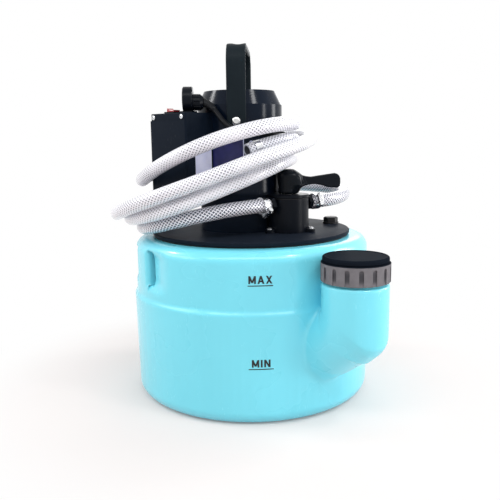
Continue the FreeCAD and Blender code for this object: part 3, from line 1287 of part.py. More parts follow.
def make_box_lid():
    """Hollow lid of the control box with openings for the switch and the gland."""
    saddle = MOTOR_R + MOTOR_SADDLE_GAP
    lid = box_block(LID_INSET, BOX_TOP_Z, LID_TOP, BOX_CORNER_R, saddle)
    rim = [edge for edge in lid.Edges if abs(edge.BoundBox.ZMin - LID_TOP) < 0.01
           and edge.CenterOfMass.sub(V(MOTOR_X, MOTOR_Y, LID_TOP)).Length > saddle - 12.0
           and not isinstance(edge.Curve, Part.Circle)]
    lid = lid.makeChamfer(0.6, rim)
    lid = lid.cut(box_block(LID_INSET + LID_WALL, BOX_TOP_Z - 1, LID_TOP - LID_WALL, 0,
                            saddle + LID_WALL))
    a, b = SWITCH_PLACE
    half_a = BEZEL_WIDTH / 2.0 - SWITCH_BODY_INSET
    half_b = BEZEL_LENGTH / 2.0 - SWITCH_BODY_INSET
    window = in_box(block((a - half_a, b - half_b, BOX_TOP_Z), (a + half_a, b + half_b, LID_TOP + 1)))
    stub = cylinder(GLAND_STUB_R, BOX_TOP_Z, LID_TOP + 1, GLAND_X, GLAND_Y)
    return lid.cut([window, stub] + lid_screw_rods(LID_SCREW_R))


def make_lid_screws():
    """Small pan-head screws in the lid's left side."""
    seats, line = lid_screw_axes()
    screws = []
    for seat in seats:
        screw = pan_screw(LID_SCREW_R, LID_SCREW_HEAD_R, LID_SCREW_HEAD_HEIGHT, LID_SCREW_LENGTH)
        screws.append(aimed(screw, seat, line))
    return group(screws)


def make_switch_bezel():
    """Frame and body of the rocker switch, with holes for the rocker's trunnions."""
    a, b = SWITCH_PLACE
    half_a = BEZEL_WIDTH / 2.0
    half_b = BEZEL_LENGTH / 2.0
    frame = block((a - half_a, b - half_b, LID_TOP), (a + half_a, b + half_b, LID_TOP + BEZEL_HEIGHT))
    frame = frame.makeFillet(1.5, edges_along(frame, UP))
    inset = SWITCH_BODY_INSET
    floor = LID_TOP - SWITCH_BODY_DEPTH
    body = block((a - half_a + inset, b - half_b + inset, floor),
                 (a + half_a - inset, b + half_b - inset, LID_TOP + CUT))
    well = block((a - half_a + BEZEL_RIM, b - half_b + BEZEL_RIM, floor + 4.0),
                 (a + half_a - BEZEL_RIM, b + half_b - BEZEL_RIM, LID_TOP + BEZEL_HEIGHT + 1))
    reach = half_a - BEZEL_RIM + TRUNNION_SEAT + 0.2
    pivot = rod(TRUNNION_R + SHAFT_FIT, V(a - reach, b, ROCKER_PIVOT_Z), V(a + reach, b, ROCKER_PIVOT_Z))
    return in_box(fused([frame, body]).cut([well, pivot]))


def make_rocker():
    """Rocker with a dished top, round trunnions and a swinging foot, tilted to one side."""
    a, b = SWITCH_PLACE
    half_b = BEZEL_LENGTH / 2.0 - BEZEL_RIM - ROCKER_END_GAP
    half_a = BEZEL_WIDTH / 2.0 - BEZEL_RIM - SLIP_GAP
    end = ROCKER_RISE - 1.0
    face = outline((-half_b, -1.0), (-3.0, -5.5), (3.0, -5.5), (half_b, -1.0), (half_b, end),
                   ((0, end - 2.0), (-half_b, end)))
    rocker = face.extrude(V(0, 2 * half_a, 0))
    rocker.translate(V(0, -half_a, 0))
    rocker.rotate(V(0, 0, 0), UP, 90.0)
    trunnion = half_a + SLIP_GAP + TRUNNION_SEAT
    rocker = fused([rocker, rod(TRUNNION_R, V(-trunnion, 0, 0), V(trunnion, 0, 0))])
    rocker.rotate(V(0, 0, 0), V(1, 0, 0), ROCKER_TILT)
    rocker.translate(V(a, b, ROCKER_PIVOT_Z))
    return in_box(rocker)


def make_capacitor():
    """Starting capacitor that stands on the box's floor, with two blade terminals."""
    a, b = CAPACITOR_PLACE
    low = BOX_FLOOR_Z + BOX_WALL
    can = cylinder(CAPACITOR_R, low, low + CAPACITOR_LENGTH, a, b)
    can = can.makeFillet(1.5, [edge for edge in can.Edges if isinstance(edge.Curve, Part.Circle)])
    tabs = [block((a + side * 5.0 - 0.4, b - 3.0, low + CAPACITOR_LENGTH - 1.0),
                  (a + side * 5.0 + 0.4, b + 3.0, low + CAPACITOR_LENGTH + 9.0)) for side in (-1, 1)]
    return in_box(fused([can] + tabs))


def make_terminal_block():
    """Terminal block on the box's floor, with three pairs of screw wells."""
    a, b = TERMINAL_PLACE
    width, length, height = TERMINAL_SIZE
    low = BOX_FLOOR_Z + BOX_WALL
    body = block((a, b, low), (a + width, b + length, low + height))
    wells = []
    for row in range(3):
        for side in (0.28, 0.72):
            wells.append(cylinder(2.0, low + height - 6.0, low + height + 1, a + width * side,
                                  b + length * (row + 0.5) / 3.0))
    return in_box(body.cut(wells))


def make_cable_gland():
    """Angled cable gland: threaded stub and collar below, round housing with a cover above."""
    stub = cylinder(GLAND_STUB_R, BOX_TOP_Z + 1.0, GLAND_DISC_Z, GLAND_X, GLAND_Y)
    collar = hexagon(GLAND_COLLAR_FLATS, LID_TOP, LID_TOP + GLAND_COLLAR_HEIGHT, GLAND_X, GLAND_Y)
    half = GLAND_DISC_WIDTH / 2.0
    bevel = 1.2
    disc = turned(outline(
        (0, -half), (GLAND_DISC_R - 4.0, -half), (GLAND_DISC_R - 4.0, -half + 1.0),
        (GLAND_DISC_R - 2.8, -half + 1.0),
        (GLAND_DISC_R - 2.8, -half), (GLAND_DISC_R - bevel, -half), (GLAND_DISC_R, -half + bevel),
        (GLAND_DISC_R, half - bevel), (GLAND_DISC_R - bevel, half), (0, half)))
    disc = aimed(disc, V(GLAND_X, GLAND_Y, GLAND_DISC_Z), V(1, 0, 0))
    return fused([stub, collar, disc])


def make_gland_nut():
    """Ribbed clamping nut of the gland, bored a little way for the lead."""
    start = V(GLAND_X + GLAND_DISC_WIDTH / 2.0, GLAND_Y, GLAND_NUT_Z)
    nut = turned(outline((0, 0), (GLAND_NUT_R, 0), (GLAND_NUT_R, GLAND_NUT_LENGTH - 4.0),
                         (GLAND_NUT_R - 3.0, GLAND_NUT_LENGTH), (0, GLAND_NUT_LENGTH)))
    groove = cylinder(1.0, 2.0, GLAND_NUT_LENGTH + 1, GLAND_NUT_R + 0.2, 0)
    grooves = []
    for step in range(GLAND_NUT_RIBS):
        copy = groove.copy()
        copy.rotate(V(0, 0, 0), UP, 360.0 / GLAND_NUT_RIBS * step)
        grooves.append(copy)
    return aimed(nut.cut(grooves), start, V(1, 0, 0))


def coil_section():
    """Bundle section of the coiled lead: round turns in columns and layers, filled between."""
    rows = [COIL_BASE + LEAD_R * (1 + 2 * layer) for layer in range(COIL_LAYERS)]
    columns = [COIL_MEAN_R + LEAD_R * (2 * column - COIL_COLUMNS + 1) for column in range(COIL_COLUMNS)]
    corners = [(columns[0], rows[0]), (columns[-1], rows[0]), (columns[-1], rows[-1]), (columns[0], rows[-1])]
    faces = [outline(*corners)]
    for radius in columns:
        for height in rows:
            circle = Part.Circle(V(radius, 0, height), V(0, 1, 0), LEAD_R)
            faces.append(Part.Face(Part.Wire([circle.toShape()])))
    merged = faces[0].fuse(faces[1:]).removeSplitter()
    return merged.Faces[0]


def make_cord_coil():
    """Unused length of the lead, coiled flat on the plate behind the motor."""
    return turned(coil_section(), COIL_X, COIL_Y)


def make_mains_plug():
    """Mains plug that stands in the coil with its two pins up and its relief resting on the coil."""
    low = COIL_BASE
    high = low + PLUG_HEIGHT
    body = turned(outline((0, low), (PLUG_R - 3.0, low), (PLUG_R, low + 3.0), (PLUG_R, high - 1.5),
                          (PLUG_R - 1.5, high), (0, high)))
    pins = [fused([cylinder(PIN_R, high - 1, high + PIN_LENGTH - PIN_R, side * PIN_SPACING / 2.0, 0),
                   Part.makeSphere(PIN_R, V(side * PIN_SPACING / 2.0, 0, high + PIN_LENGTH - PIN_R))])
            for side in (-1, 1)]
    relief_z = low + LEAD_R * (2 * COIL_LAYERS + 1)
    relief = rod(PLUG_RELIEF_R, V(0, 0, relief_z), V(COIL_MEAN_R, 0, relief_z))
    plug = fused([body, relief] + pins)
    plug.translate(V(COIL_X, COIL_Y, 0))
    return plug.cut(make_cord_coil())


def make_nodes():
    """Every node of the model with the function that builds it."""
    return {
        "tank": make_tank,
        "spout_cap": make_spout_cap,
        "cap_seal": make_cap_seal,
        "plate_gasket": make_plate_gasket,
        "top_plate": make_top_plate,
        "plate_bolts": make_plate_bolts,
        "plate_washers": make_plate_washers,
        "foot_casting": make_foot_casting,
        "foot_screws": make_foot_screws,
        "lower_shield": make_lower_shield,
        "stator_core": make_stator_core,
        "stator_windings": make_stator_windings,
        "upper_shield": make_upper_shield,
        "motor_bearings": make_bearings,
        "rotor_core": make_rotor_core,
        "motor_shaft": make_motor_shaft,
        "cooling_fan": make_cooling_fan,
        "motor_shell": make_motor_shell,
        "fan_cowl": make_fan_cowl,
        "carry_handle": make_carry_handle,
        "handle_screws": make_handle_screws,
        "pump_column": make_pump_column,
        "pump_casing": make_volute,
        "impeller": make_impeller,
        "pump_shaft": make_pump_shaft,
        "shaft_coupling": make_coupling,
        "shaft_bush": make_shaft_bush,
        "suction_strainer": make_strainer,
        "riser_pipe": make_riser_pipe,
        "return_pipe": make_return_pipe,
        "valve_body": make_valve_body,
        "valve_gasket": make_valve_gasket,
        "valve_bonnet": make_valve_bonnet,
        "valve_rotor": make_valve_rotor,
        "valve_lever": make_valve_lever,
        "lever_screw": make_lever_screw,
        "lug_screws": make_lug_screws,
        "hose_tails": make_hose_tails,
        "hose_a": lambda: make_hose(HOSE_A_ROUTE),
        "hose_b": lambda: make_hose(HOSE_B_ROUTE),
        "port_clamps": make_port_clamps,
        "end_clamps": make_end_clamps,
        "control_box": make_control_box,
        "box_lid": make_box_lid,
        "lid_screws": make_lid_screws,
        "switch_bezel": make_switch_bezel,
        "switch_rocker": make_rocker,
        "start_capacitor": make_capacitor,
        "terminal_block": make_terminal_block,
        "cable_gland": make_cable_gland,
        "gland_nut": make_gland_nut,
        "power_cord": lambda: cord_solid(LEAD_ROUTE, LEAD_R),
        "cord_coil": make_cord_coil,
        "mains_plug": make_mains_plug,
    }


def report_cord(name, route, radius):
    """Print a cord's radius and the volume of its tube beside its section times its length."""
    length = rounded_path(route).Length
    volume = cord_solid(route, radius).Volume
    section = math.pi * radius ** 2
    print("%-10s radius %5.2f  length %7.1f  volume %9.0f  section x length %9.0f" % (
        name, radius, length, volume, section * length))


def report_cords():
    """Print the sizes of the hoses, the lead and the turns of its coil."""
    report_cord("hose A", HOSE_A_ROUTE, HOSE_R)
    report_cord("hose B", HOSE_B_ROUTE, HOSE_R)
    report_cord("lead", LEAD_ROUTE, LEAD_R)
    print("coil       turns %4.1f  length %7.1f" % (COIL_TURNS, COIL_TURNS * 2.0 * math.pi * COIL_MEAN_R))


def main():
    """Build every node and write it to the parts folder."""
    os.makedirs("parts", exist_ok=True)
    for node, make in make_nodes().items():
        shape = make()
        kinds = (shape.ShapeType, len(shape.Solids), shape.isValid())
        if not shape.Solids or not shape.isValid():
            raise ValueError("%s is not a valid solid: %s" % (node, kinds))
        shape.exportStep("parts/%s.step" % node)
        box = shape.BoundBox
        print("%-18s solids %2d  volume %10.0f  x %7.1f %7.1f  y %7.1f %7.1f  z %6.1f %6.1f" % (
            node, len(shape.Solids), shape.Volume, box.XMin, box.XMax, box.YMin, box.YMax,
            box.ZMin, box.ZMax))
    report_cords()


main()
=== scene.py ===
"""Dresses the heat exchanger flushing pump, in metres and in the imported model's frame."""

import logging
import math
from dataclasses import dataclass
from enum import Enum
from typing import Any, ClassVar, Sequence

import bpy
import numpy as np
from mathutils import Matrix, Vector
from mathutils.bvhtree import BVHTree


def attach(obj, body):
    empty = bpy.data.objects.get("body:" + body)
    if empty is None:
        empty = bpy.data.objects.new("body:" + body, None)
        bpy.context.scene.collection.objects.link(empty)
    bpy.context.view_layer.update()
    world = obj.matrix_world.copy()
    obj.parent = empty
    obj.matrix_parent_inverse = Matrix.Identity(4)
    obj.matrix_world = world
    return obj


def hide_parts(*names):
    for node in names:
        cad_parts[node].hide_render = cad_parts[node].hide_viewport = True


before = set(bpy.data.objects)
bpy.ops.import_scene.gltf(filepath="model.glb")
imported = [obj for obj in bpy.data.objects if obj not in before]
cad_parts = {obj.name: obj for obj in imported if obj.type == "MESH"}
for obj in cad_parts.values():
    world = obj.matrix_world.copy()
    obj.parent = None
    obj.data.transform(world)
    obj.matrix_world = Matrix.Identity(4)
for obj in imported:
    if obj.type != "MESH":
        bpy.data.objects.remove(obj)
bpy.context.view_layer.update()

LOG = logging.getLogger("flushing_pump")
TUBE_MAP = "Tube"

Colour = tuple[float, float, float]
Place = tuple[float, float, float]
Pair = tuple[float, float]

WHITE: Colour = (1.0, 1.0, 1.0)
MOTOR_AXIS: Pair = (-0.0141, 0.0049)
VALVE_AXIS: Pair = (0.0522, -0.0360)
COIL_AXIS: Pair = (-0.014, 0.112)
BORE_DEPTH = 0.022
PINHOLE = 0.0001
NEARLY_ALONG = 0.98


class Body(Enum):
    """The moving bodies that a piece can ride on."""

    UNIT = "pump_unit"
    VALVE = "valve_handle"


class Slot(Enum):
    """The material slots."""

    TANK = "tank_plastic"
    BLACK = "black_plastic"
    MATTE_BLACK = "black_matte_plastic"
    ENAMEL = "black_enamel"
    POWDER = "black_powder"
    RED = "red_plastic"
    WHITE = "white_plastic"
    GREY = "grey_plastic"
    RUBBER = "rubber"
    HOSE = "hose_wall"
    STEEL = "steel"
    STAINLESS = "stainless"
    SHEETS = "laminations"
    WIRE = "winding_wire"
    ROTOR = "rotor_metal"


class Field:
    """A value that varies over a surface: a node's socket that takes Python's arithmetic."""

    def __init__(self, nodes: "NodeTree", socket: bpy.types.NodeSocket) -> None:
        """Keeps the tree that the socket is in.

        Args:
            nodes: The tree.
            socket: The output that holds the value.
        """
        self.nodes = nodes
        self.socket = socket

    def _with(self, operation: str, first: Any, second: Any = None) -> "Field":
        """Adds a Math node.

        Args:
            operation: The Math node's operation.
            first: Its first value.
            second: Its second value, if it has one.

        Returns:
            The node's result.
        """
        inputs = {0: first} if second is None else {0: first, 1: second}
        return self.nodes.add("ShaderNodeMath", {"operation": operation}, inputs)

    def __add__(self, other: Any) -> "Field":
        """Sum with a number or field."""
        return self._with("ADD", self, other)

    def __radd__(self, other: Any) -> "Field":
        """Sum with a number before it."""
        return self._with("ADD", other, self)

    def __sub__(self, other: Any) -> "Field":
        """Difference from a number or field."""
        return self._with("SUBTRACT", self, other)

    def __rsub__(self, other: Any) -> "Field":
        """A number less this field."""
        return self._with("SUBTRACT", other, self)

    def __mul__(self, other: Any) -> "Field":
        """Product with a number or field."""
        return self._with("MULTIPLY", self, other)

    def __rmul__(self, other: Any) -> "Field":
        """Product with a number before it."""
        return self._with("MULTIPLY", other, self)

    def lower(self, other: Any) -> "Field":
        """The lower of this and another value."""
        return self._with("MINIMUM", self, other)

    def higher(self, other: Any) -> "Field":
        """The higher of this and another value."""
        return self._with("MAXIMUM", self, other)

    def wave(self) -> "Field":
        """A straight-sided wave: 1 at whole numbers and 0 halfway between them."""
        return self._with("ABSOLUTE", self._with("FRACT", self) - 0.5) * 2.0

    def between(self, low: float, high: float) -> "Field":
        """A smooth step.

        Args:
            low: Where the step starts from 0.
            high: Where it reaches 1.

        Returns:
            The step as a field from 0 to 1.
        """
        inputs = {"Value": self, "From Min": low, "From Max": high}
        return self.nodes.add("ShaderNodeMapRange", {"interpolation_type": "SMOOTHSTEP"}, inputs)


class NodeTree:
    """The nodes of a material or of the world, with their output."""

    def __init__(self, tree: bpy.types.NodeTree, output: str) -> None:
        """Empties a tree and gives it an output.

        Args:
            tree: The tree.
            output: The output node's type.
        """
        self.tree = tree
        tree.nodes.clear()
        self.output = tree.nodes.new(output)

    def add(
        self, kind: str, settings: dict[str, Any], inputs: dict[Any, Any], result: Any = 0
    ) -> Field:
        """Adds any node: first its settings, then its inputs.

        Args:
            kind: The node's type.
            settings: Its properties.
            inputs: Values or fields by socket name or number.
            result: The output that is wanted.

        Returns:
            That output as a field.
        """
        node = self.tree.nodes.new(kind)
        for key, value in settings.items():
            setattr(node, key, value)
        for key, value in inputs.items():
            self.feed(node.inputs[key], value)
        return Field(self, node.outputs[result])

    def feed(self, socket: bpy.types.NodeSocket, value: Any) -> None:
        """Sets or links one socket.

        Args:
            socket: The input.
            value: A field to link, or a number, colour or vector to set.
        """
        if isinstance(value, Field):
            self.tree.links.new(value.socket, socket)
        elif socket.type == "RGBA":
            socket.default_value = (*value, 1.0)
        else:
            socket.default_value = value

    def show(self, shader: Field) -> None:
        """Links a shader to the output."""
        self.feed(self.output.inputs["Surface"], shader)

    def direct_rays(self) -> Field:
        """1 for rays from the eye, a mirror or glass, and 0 for light that spreads.

        Returns:
            The number as a field.
        """
        kinds = ("Is Camera Ray", "Is Glossy Ray", "Is Transmission Ray")
        camera, glossy, clear = (self.add("ShaderNodeLightPath", {}, {}, kind) for kind in kinds)
        return camera.higher(glossy).higher(clear)


class NodeSheet(NodeTree):
    """The nodes of one material, with its Principled shader."""

    def __init__(self, name: str) -> None:
        """Makes a material with a plain shader.

        Args:
            name: The material's name.
        """
        self.material = bpy.data.materials.new(name)
        self.material.use_nodes = True
        super().__init__(self.material.node_tree, "ShaderNodeOutputMaterial")
        self.shader = self.add("ShaderNodeBsdfPrincipled", {}, {})
        self.show(self.shader)

    def finish(self, **inputs: Any) -> bpy.types.Material:
        """Sets the shader's sockets.

        Args:
            **inputs: Values or fields by socket name, with _ for a space.

        Returns:
            The finished material.
        """
        for key, value in inputs.items():
            self.feed(self.shader.socket.node.inputs[key.replace("_", " ")], value)
        return self.material

    def place(self) -> Field:
        """The point on the surface in the model's frame, in metres."""
        return self.add("ShaderNodeTexCoord", {}, {}, "Object")

    def axis(self, vector: Field, axis: str) -> Field:
        """One coordinate of a vector: X, Y or Z."""
        return self.add("ShaderNodeSeparateXYZ", {}, {0: vector}, axis)

    def height(self) -> Field:
        """The height of the surface point, in metres."""
        return self.axis(self.place(), "Z")

    def noise(self, size: float, detail: float = 2.0, at: Field | None = None) -> Field:
        """Noise from 0 to 1.

        Args:
            size: The width of its blots, in metres.
            detail: How many finer layers it has.
            at: Where it is read; the surface point when left out.

        Returns:
            The noise.
        """
        where = at if at is not None else self.place()
        inputs = {"Vector": where, "Scale": 1.0 / size, "Detail": detail}
        return self.add("ShaderNodeTexNoise", {}, inputs, "Fac")

    def vector(self, operation: str, second: Place, result: str = "Vector") -> Field:
        """A Vector Math node on the surface point.

        Args:
            operation: The node's operation.
            second: The vector that the point is worked with.
            result: The output that is wanted.

        Returns:
            That output.
        """
        inputs = {0: self.place(), 1: second}
        return self.add("ShaderNodeVectorMath", {"operation": operation}, inputs, result)

    def mix(self, amount: Any, first: Any, second: Any) -> Field:
        """A mix of two colours, by the Mix node's colour sockets.

        Args:
            amount: 0 for the first colour and 1 for the second.
            first: A colour or field.
            second: A colour or field.

        Returns:
            The mixed colour.
        """
        inputs = {0: amount, 6: first, 7: second}
        return self.add("ShaderNodeMix", {"data_type": "RGBA"}, inputs, 2)

    def bump(self, height: Field, depth: float, strength: float) -> Field:
        """A surface relief.

        Args:
            height: The relief from 0 to 1.
            depth: Its depth, in metres.
            strength: How much of it shows.

        Returns:
            The bent normal.
        """
        inputs = {"Height": height, "Distance": depth, "Strength": strength}
        return self.add("ShaderNodeBump", {}, inputs, "Normal")

    def rub_marks(self) -> Field:
        """Short fine marks left by handling, in a few patches.

        Returns:
            The marks as a field from 0 to 1.
        """
        patch_width, mark_width, upright = 0.03, 0.0016, (1.0, 1.0, 0.25)
        patches = self.noise(patch_width).between(0.5, 0.68)
        marks = self.noise(mark_width, 3.0, self.vector("MULTIPLY", upright))
        return marks.between(0.62, 0.74) * patches


def shade(colour: Colour, factor: float, added: float = 0.0) -> Colour:
    """A colour made darker or lighter by a factor, with a little white added."""
    return tuple(min(1.0, channel * factor + added) for channel in colour)


@dataclass(frozen=True)
class Finish:
    """What every finish shares: its name, colour and roughness."""

    name: str
    colour: Colour
    roughness: float

    def material(self) -> bpy.types.Material:
        """The finish as a material, made once."""
        made = bpy.data.materials.get(self.name)
        return made if made is not None else self.paint(NodeSheet(self.name))

    def paint(self, sheet: NodeSheet) -> bpy.types.Material:
        """Lays the finish's nodes; each kind of finish has its own."""
        return sheet.finish(Base_Color=self.colour, Roughness=self.roughness)


@dataclass(frozen=True)
class Moulded(Finish):
    """Injection-moulded plastic with a fine grain and faint flow marks."""

    grain: float = 0.00035
    depth: float = 0.00003
    specular: float = 0.2
    coat: float = 0.0
    flow_width: float = 0.03
    cloud_width: float = 0.012
    coat_roughness: float = 0.06

    def paint(self, sheet: NodeSheet) -> bpy.types.Material:
        """Grain, flow marks and a few pale rub marks from handling.

        Args:
            sheet: The material's nodes.

        Returns:
            The finished material.
        """
        rub = sheet.rub_marks()
        flow = sheet.noise(self.flow_width, 3.0)
        tone = sheet.mix(flow, shade(self.colour, 0.82), shade(self.colour, 1.2))
        return sheet.finish(
            Base_Color=sheet.mix(rub * 0.25, tone, shade(self.colour, 1.3, 0.02)),
            Roughness=self.roughness + (sheet.noise(self.cloud_width) - 0.5) * 0.12 + rub * 0.1,
            Normal=sheet.bump(sheet.noise(self.grain), self.depth, 0.6),
            Specular_IOR_Level=self.specular,
            Coat_Weight=self.coat,
            Coat_Roughness=self.coat_roughness,
        )


@dataclass(frozen=True)
class CapMoulding(Moulded):
    """Screw cap: a black disc on a grey satin ring whose recesses are painted darker as shade."""

    ring: Colour = (0.170, 0.165, 0.178)
    ring_top: float = 0.2115
    ring_blend: float = 0.0004
    middle: Place = (0.1252, -0.1692, 0.200)
    recess_reach: float = 0.0408
    rib_reach: float = 0.0420
    # share of the ring's grey left in the recesses: painted shade
    recess_shade_level: float = 0.35
    stain_width: float = 0.008

    def paint(self, sheet: NodeSheet) -> bpy.types.Material:
        """Black above the ring's top, grey on its ribs, and less grey in its recesses as painted
        shade.

        Args:
            sheet: The material's nodes.

        Returns:
            The finished material.
        """
        top, blend = self.ring_top, self.ring_blend
        below = 1.0 - sheet.height().between(top - blend, top + blend)
        out = sheet.vector("DISTANCE", self.middle, "Value")
        rib = out.between(self.recess_reach, self.rib_reach)
        # painted shade: the recesses keep only part of the ring's grey, so they read darker than
        # the ribs
        ring_with_recess_shade = self.recess_shade_level + rib * (1.0 - self.recess_shade_level)
        stains = sheet.noise(self.stain_width, 3.0)
        tone = sheet.mix(stains, shade(self.ring, 0.8), shade(self.ring, 1.25))
        return sheet.finish(
            Base_Color=sheet.mix(below * ring_with_recess_shade, self.colour, tone),
            Roughness=self.roughness + below * 0.16 + sheet.rub_marks() * 0.15,
            Normal=sheet.bump(sheet.noise(self.grain), self.depth, 0.5),
            Specular_IOR_Level=self.specular,
        )


@dataclass(frozen=True)
class BlownPolyethylene(Finish):
    """Blow-moulded polyethylene: waxy gloss with light scuffs."""

    deep: Colour = (0.10, 0.55, 0.78)
    scuffed: Colour = (0.55, 0.88, 0.96)
    cloud_width: float = 0.11
    # height of the painted shade at the tank's foot, in metres
    foot_shade_height: float = 0.02
    peel: float = 0.0011
    peel_depth: float = 0.00006

    def paint(self, sheet: NodeSheet) -> bpy.types.Material:
        """Slow colour clouds, a fine orange peel, scuffs that dull the gloss, and painted shade
        at the foot.

        Args:
            sheet: The material's nodes.

        Returns:
            The finished material.
        """
        clouds = sheet.noise(self.cloud_width, 3.0)
        scuffs = sheet.rub_marks()
        # painted shade: the wall turns darker over its lowest 2 cm, towards the floor
        low = 1.0 - sheet.height().between(0.0, self.foot_shade_height)
        tone = sheet.mix(clouds * 0.16, self.colour, self.deep)
        tone = sheet.mix(scuffs * 0.10, tone, self.scuffed)
        return sheet.finish(
            Base_Color=sheet.mix(low * 0.30, tone, shade(self.deep, 0.8)),
            Roughness=self.roughness + scuffs * 0.12 + (clouds - 0.5) * 0.08,
            Normal=sheet.bump(sheet.noise(self.peel), self.peel_depth, 0.5),
            Specular_IOR_Level=0.45,
            Coat_Weight=0.35,
            Coat_Roughness=0.10,
        )


@dataclass(frozen=True)
class Painted(Finish):
    """Enamel or powder coat on metal, with orange peel and rubbed marks."""

    peel: float = 0.0016
    depth: float = 0.00005
    specular: float = 0.25
    bare: Colour = (0.22, 0.22, 0.23)
    dust_width: float = 0.035

    def paint(self, sheet: NodeSheet) -> bpy.types.Material:
        """Orange peel, a film of dust and fine rubbed marks.

        Args:
            sheet: The material's nodes.

        Returns:
            The finished material.
        """
        rub = sheet.rub_marks()
        dust = sheet.noise(self.dust_width, 3.0).between(0.4, 0.8)
        tone = sheet.mix(dust * 0.4, self.colour, shade(self.colour, 1.0, 0.004))
        return sheet.finish(
            Base_Color=sheet.mix(rub * 0.12, tone, self.bare),
            Roughness=self.roughness + dust * 0.06 + rub * 0.12,
            Normal=sheet.bump(sheet.noise(self.peel), self.depth, 0.5),
            Specular_IOR_Level=self.specular,
        )


@dataclass(frozen=True)
class BareMetal(Finish):
    """Rolled, turned or plated metal with fine lines and dull spots."""

    lines: Place = (1.0, 1.0, 12.0)
    line_width: float = 0.004
    spot_width: float = 0.005
    line_depth: float = 0.00002

    def paint(self, sheet: NodeSheet) -> bpy.types.Material:
        """Fine lines along the work and a few dull spots.

        Args:
            sheet: The material's nodes.

        Returns:
            The finished material.
        """
        lines = sheet.noise(self.line_width, 3.0, sheet.vector("MULTIPLY", self.lines))
        spots = sheet.noise(self.spot_width, 3.0).between(0.56, 0.75)
        tone = sheet.mix(lines, shade(self.colour, 0.8), shade(self.colour, 1.12))
        return sheet.finish(
            Base_Color=sheet.mix(spots * 0.4, tone, shade(self.colour, 0.55)),
            Roughness=self.roughness + (lines - 0.5) * 0.16 + spots * 0.15,
            Metallic=1.0,
            Normal=sheet.bump(lines, self.line_depth, 0.4),
        )


@dataclass(frozen=True)
class Rubber(Finish):
    """Black rubber or soft cable sheath with a dusty bloom."""

    bloom_width: float = 0.015
    pore: float = 0.0006
    pore_depth: float = 0.00004

    def paint(self, sheet: NodeSheet) -> bpy.types.Material:
        """Fine pores and a grey bloom.

        Args:
            sheet: The material's nodes.

        Returns:
            The finished material.
        """
        bloom = sheet.noise(self.bloom_width, 4.0).between(0.42, 0.75)
        return sheet.finish(
            Base_Color=sheet.mix(bloom * 0.7, self.colour, shade(self.colour, 1.0, 0.008)),
            Roughness=self.roughness + bloom * 0.12,
            Normal=sheet.bump(sheet.noise(self.pore), self.pore_depth, 0.6),
            Specular_IOR_Level=0.12,
        )


@dataclass(frozen=True)
class Braid(Finish):
    """White yarn braided in two directions inside a clear jacket."""

    yarn: Colour = (0.93, 0.93, 0.97)
    # the braid's gaps are real; their dark colour is painted shade, the hose's inside seen
    # through the clear jacket
    gap: Colour = (0.030, 0.034, 0.075)
    strands: int = 12
    pitch: float = 0.0052
    hose_radius: float = 0.0096
    yarn_width: float = 0.0012
    fade_width: float = 0.05
    yarn_depth: float = 0.0002
    port_girths: Pair = (2.6, 4.4)
    gap_from: float = 0.42
    port_widening: float = 0.16

    def paint(self, sheet: NodeSheet) -> bpy.types.Material:
        """Crossing yarns with gaps whose dark colour is painted shade of the hose's inside,
        clearer in some stretches and wider at the port.

        Args:
            sheet: The material's nodes.

        Returns:
            The finished material.
        """
        turned = sheet.add("ShaderNodeUVMap", {"uv_map": TUBE_MAP}, {})
        around = sheet.axis(turned, "X") * self.strands
        girths = sheet.axis(turned, "Y")
        along = girths * (2.0 * math.pi * self.hose_radius / self.pitch)
        open_gap = (around + along).wave().lower((around - along).wave())
        fade = sheet.noise(self.fade_width, 1.0).between(0.35, 0.65)
        near_port = 1.0 - girths.between(*self.port_girths)
        clear = (0.38 + fade * 0.5).higher(near_port)
        edge = self.gap_from - near_port * self.port_widening
        # painted shade of the hose's inside shows through the gaps in the yarn
        hole = (open_gap - edge).between(0.0, 0.14) * clear
        yarn = sheet.noise(self.yarn_width)
        return sheet.finish(
            Base_Color=sheet.mix(hole, sheet.mix(yarn, self.colour, self.yarn), self.gap),
            Roughness=self.roughness + yarn * 0.1,
            Normal=sheet.bump(1.0 - open_gap, self.yarn_depth, 0.35),
            Specular_IOR_Level=0.4,
            Coat_Weight=0.7,
            Coat_Roughness=0.12,
        )


@dataclass(frozen=True)
class Stacked(Finish):
    """Thin sheets or wires laid on each other, seen on their edges."""

    pitch: float = 0.0008
    second: Colour = (0.1, 0.1, 0.1)
    joint_depth: float = 0.0001

    def paint(self, sheet: NodeSheet) -> bpy.types.Material:
        """Even lines up the height with a dark joint between them.

        Args:
            sheet: The material's nodes.

        Returns:
            The finished material.
        """
        joint = (sheet.height() * (1.0 / self.pitch)).wave().between(0.55, 0.9)
        return sheet.finish(
            Base_Color=sheet.mix(joint, self.colour, self.second),
            Roughness=self.roughness + sheet.noise(0.004) * 0.15,
            Metallic=1.0,
            Normal=sheet.bump(1.0 - joint, self.joint_depth, 0.5),
        )


@dataclass(frozen=True)
class Printed(Finish):
    """A printed film, ink or plain cut face, with a faint grain."""

    second: Colour
    cloud_width: float = 0.012
    grain: float = 0.0005
    grain_depth: float = 0.00001

    def paint(self, sheet: NodeSheet) -> bpy.types.Material:
        """Slow clouds of two close tones and a grain.

        Args:
            sheet: The material's nodes.

        Returns:
            The finished material.
        """
        clouds = sheet.noise(self.cloud_width).between(0.35, 0.7)
        return sheet.finish(
            Base_Color=sheet.mix(clouds * 0.6, self.colour, self.second),
            Roughness=self.roughness + sheet.noise(0.002) * 0.06,
            Normal=sheet.bump(sheet.noise(self.grain), self.grain_depth, 0.3),
            Specular_IOR_Level=0.35,
        )


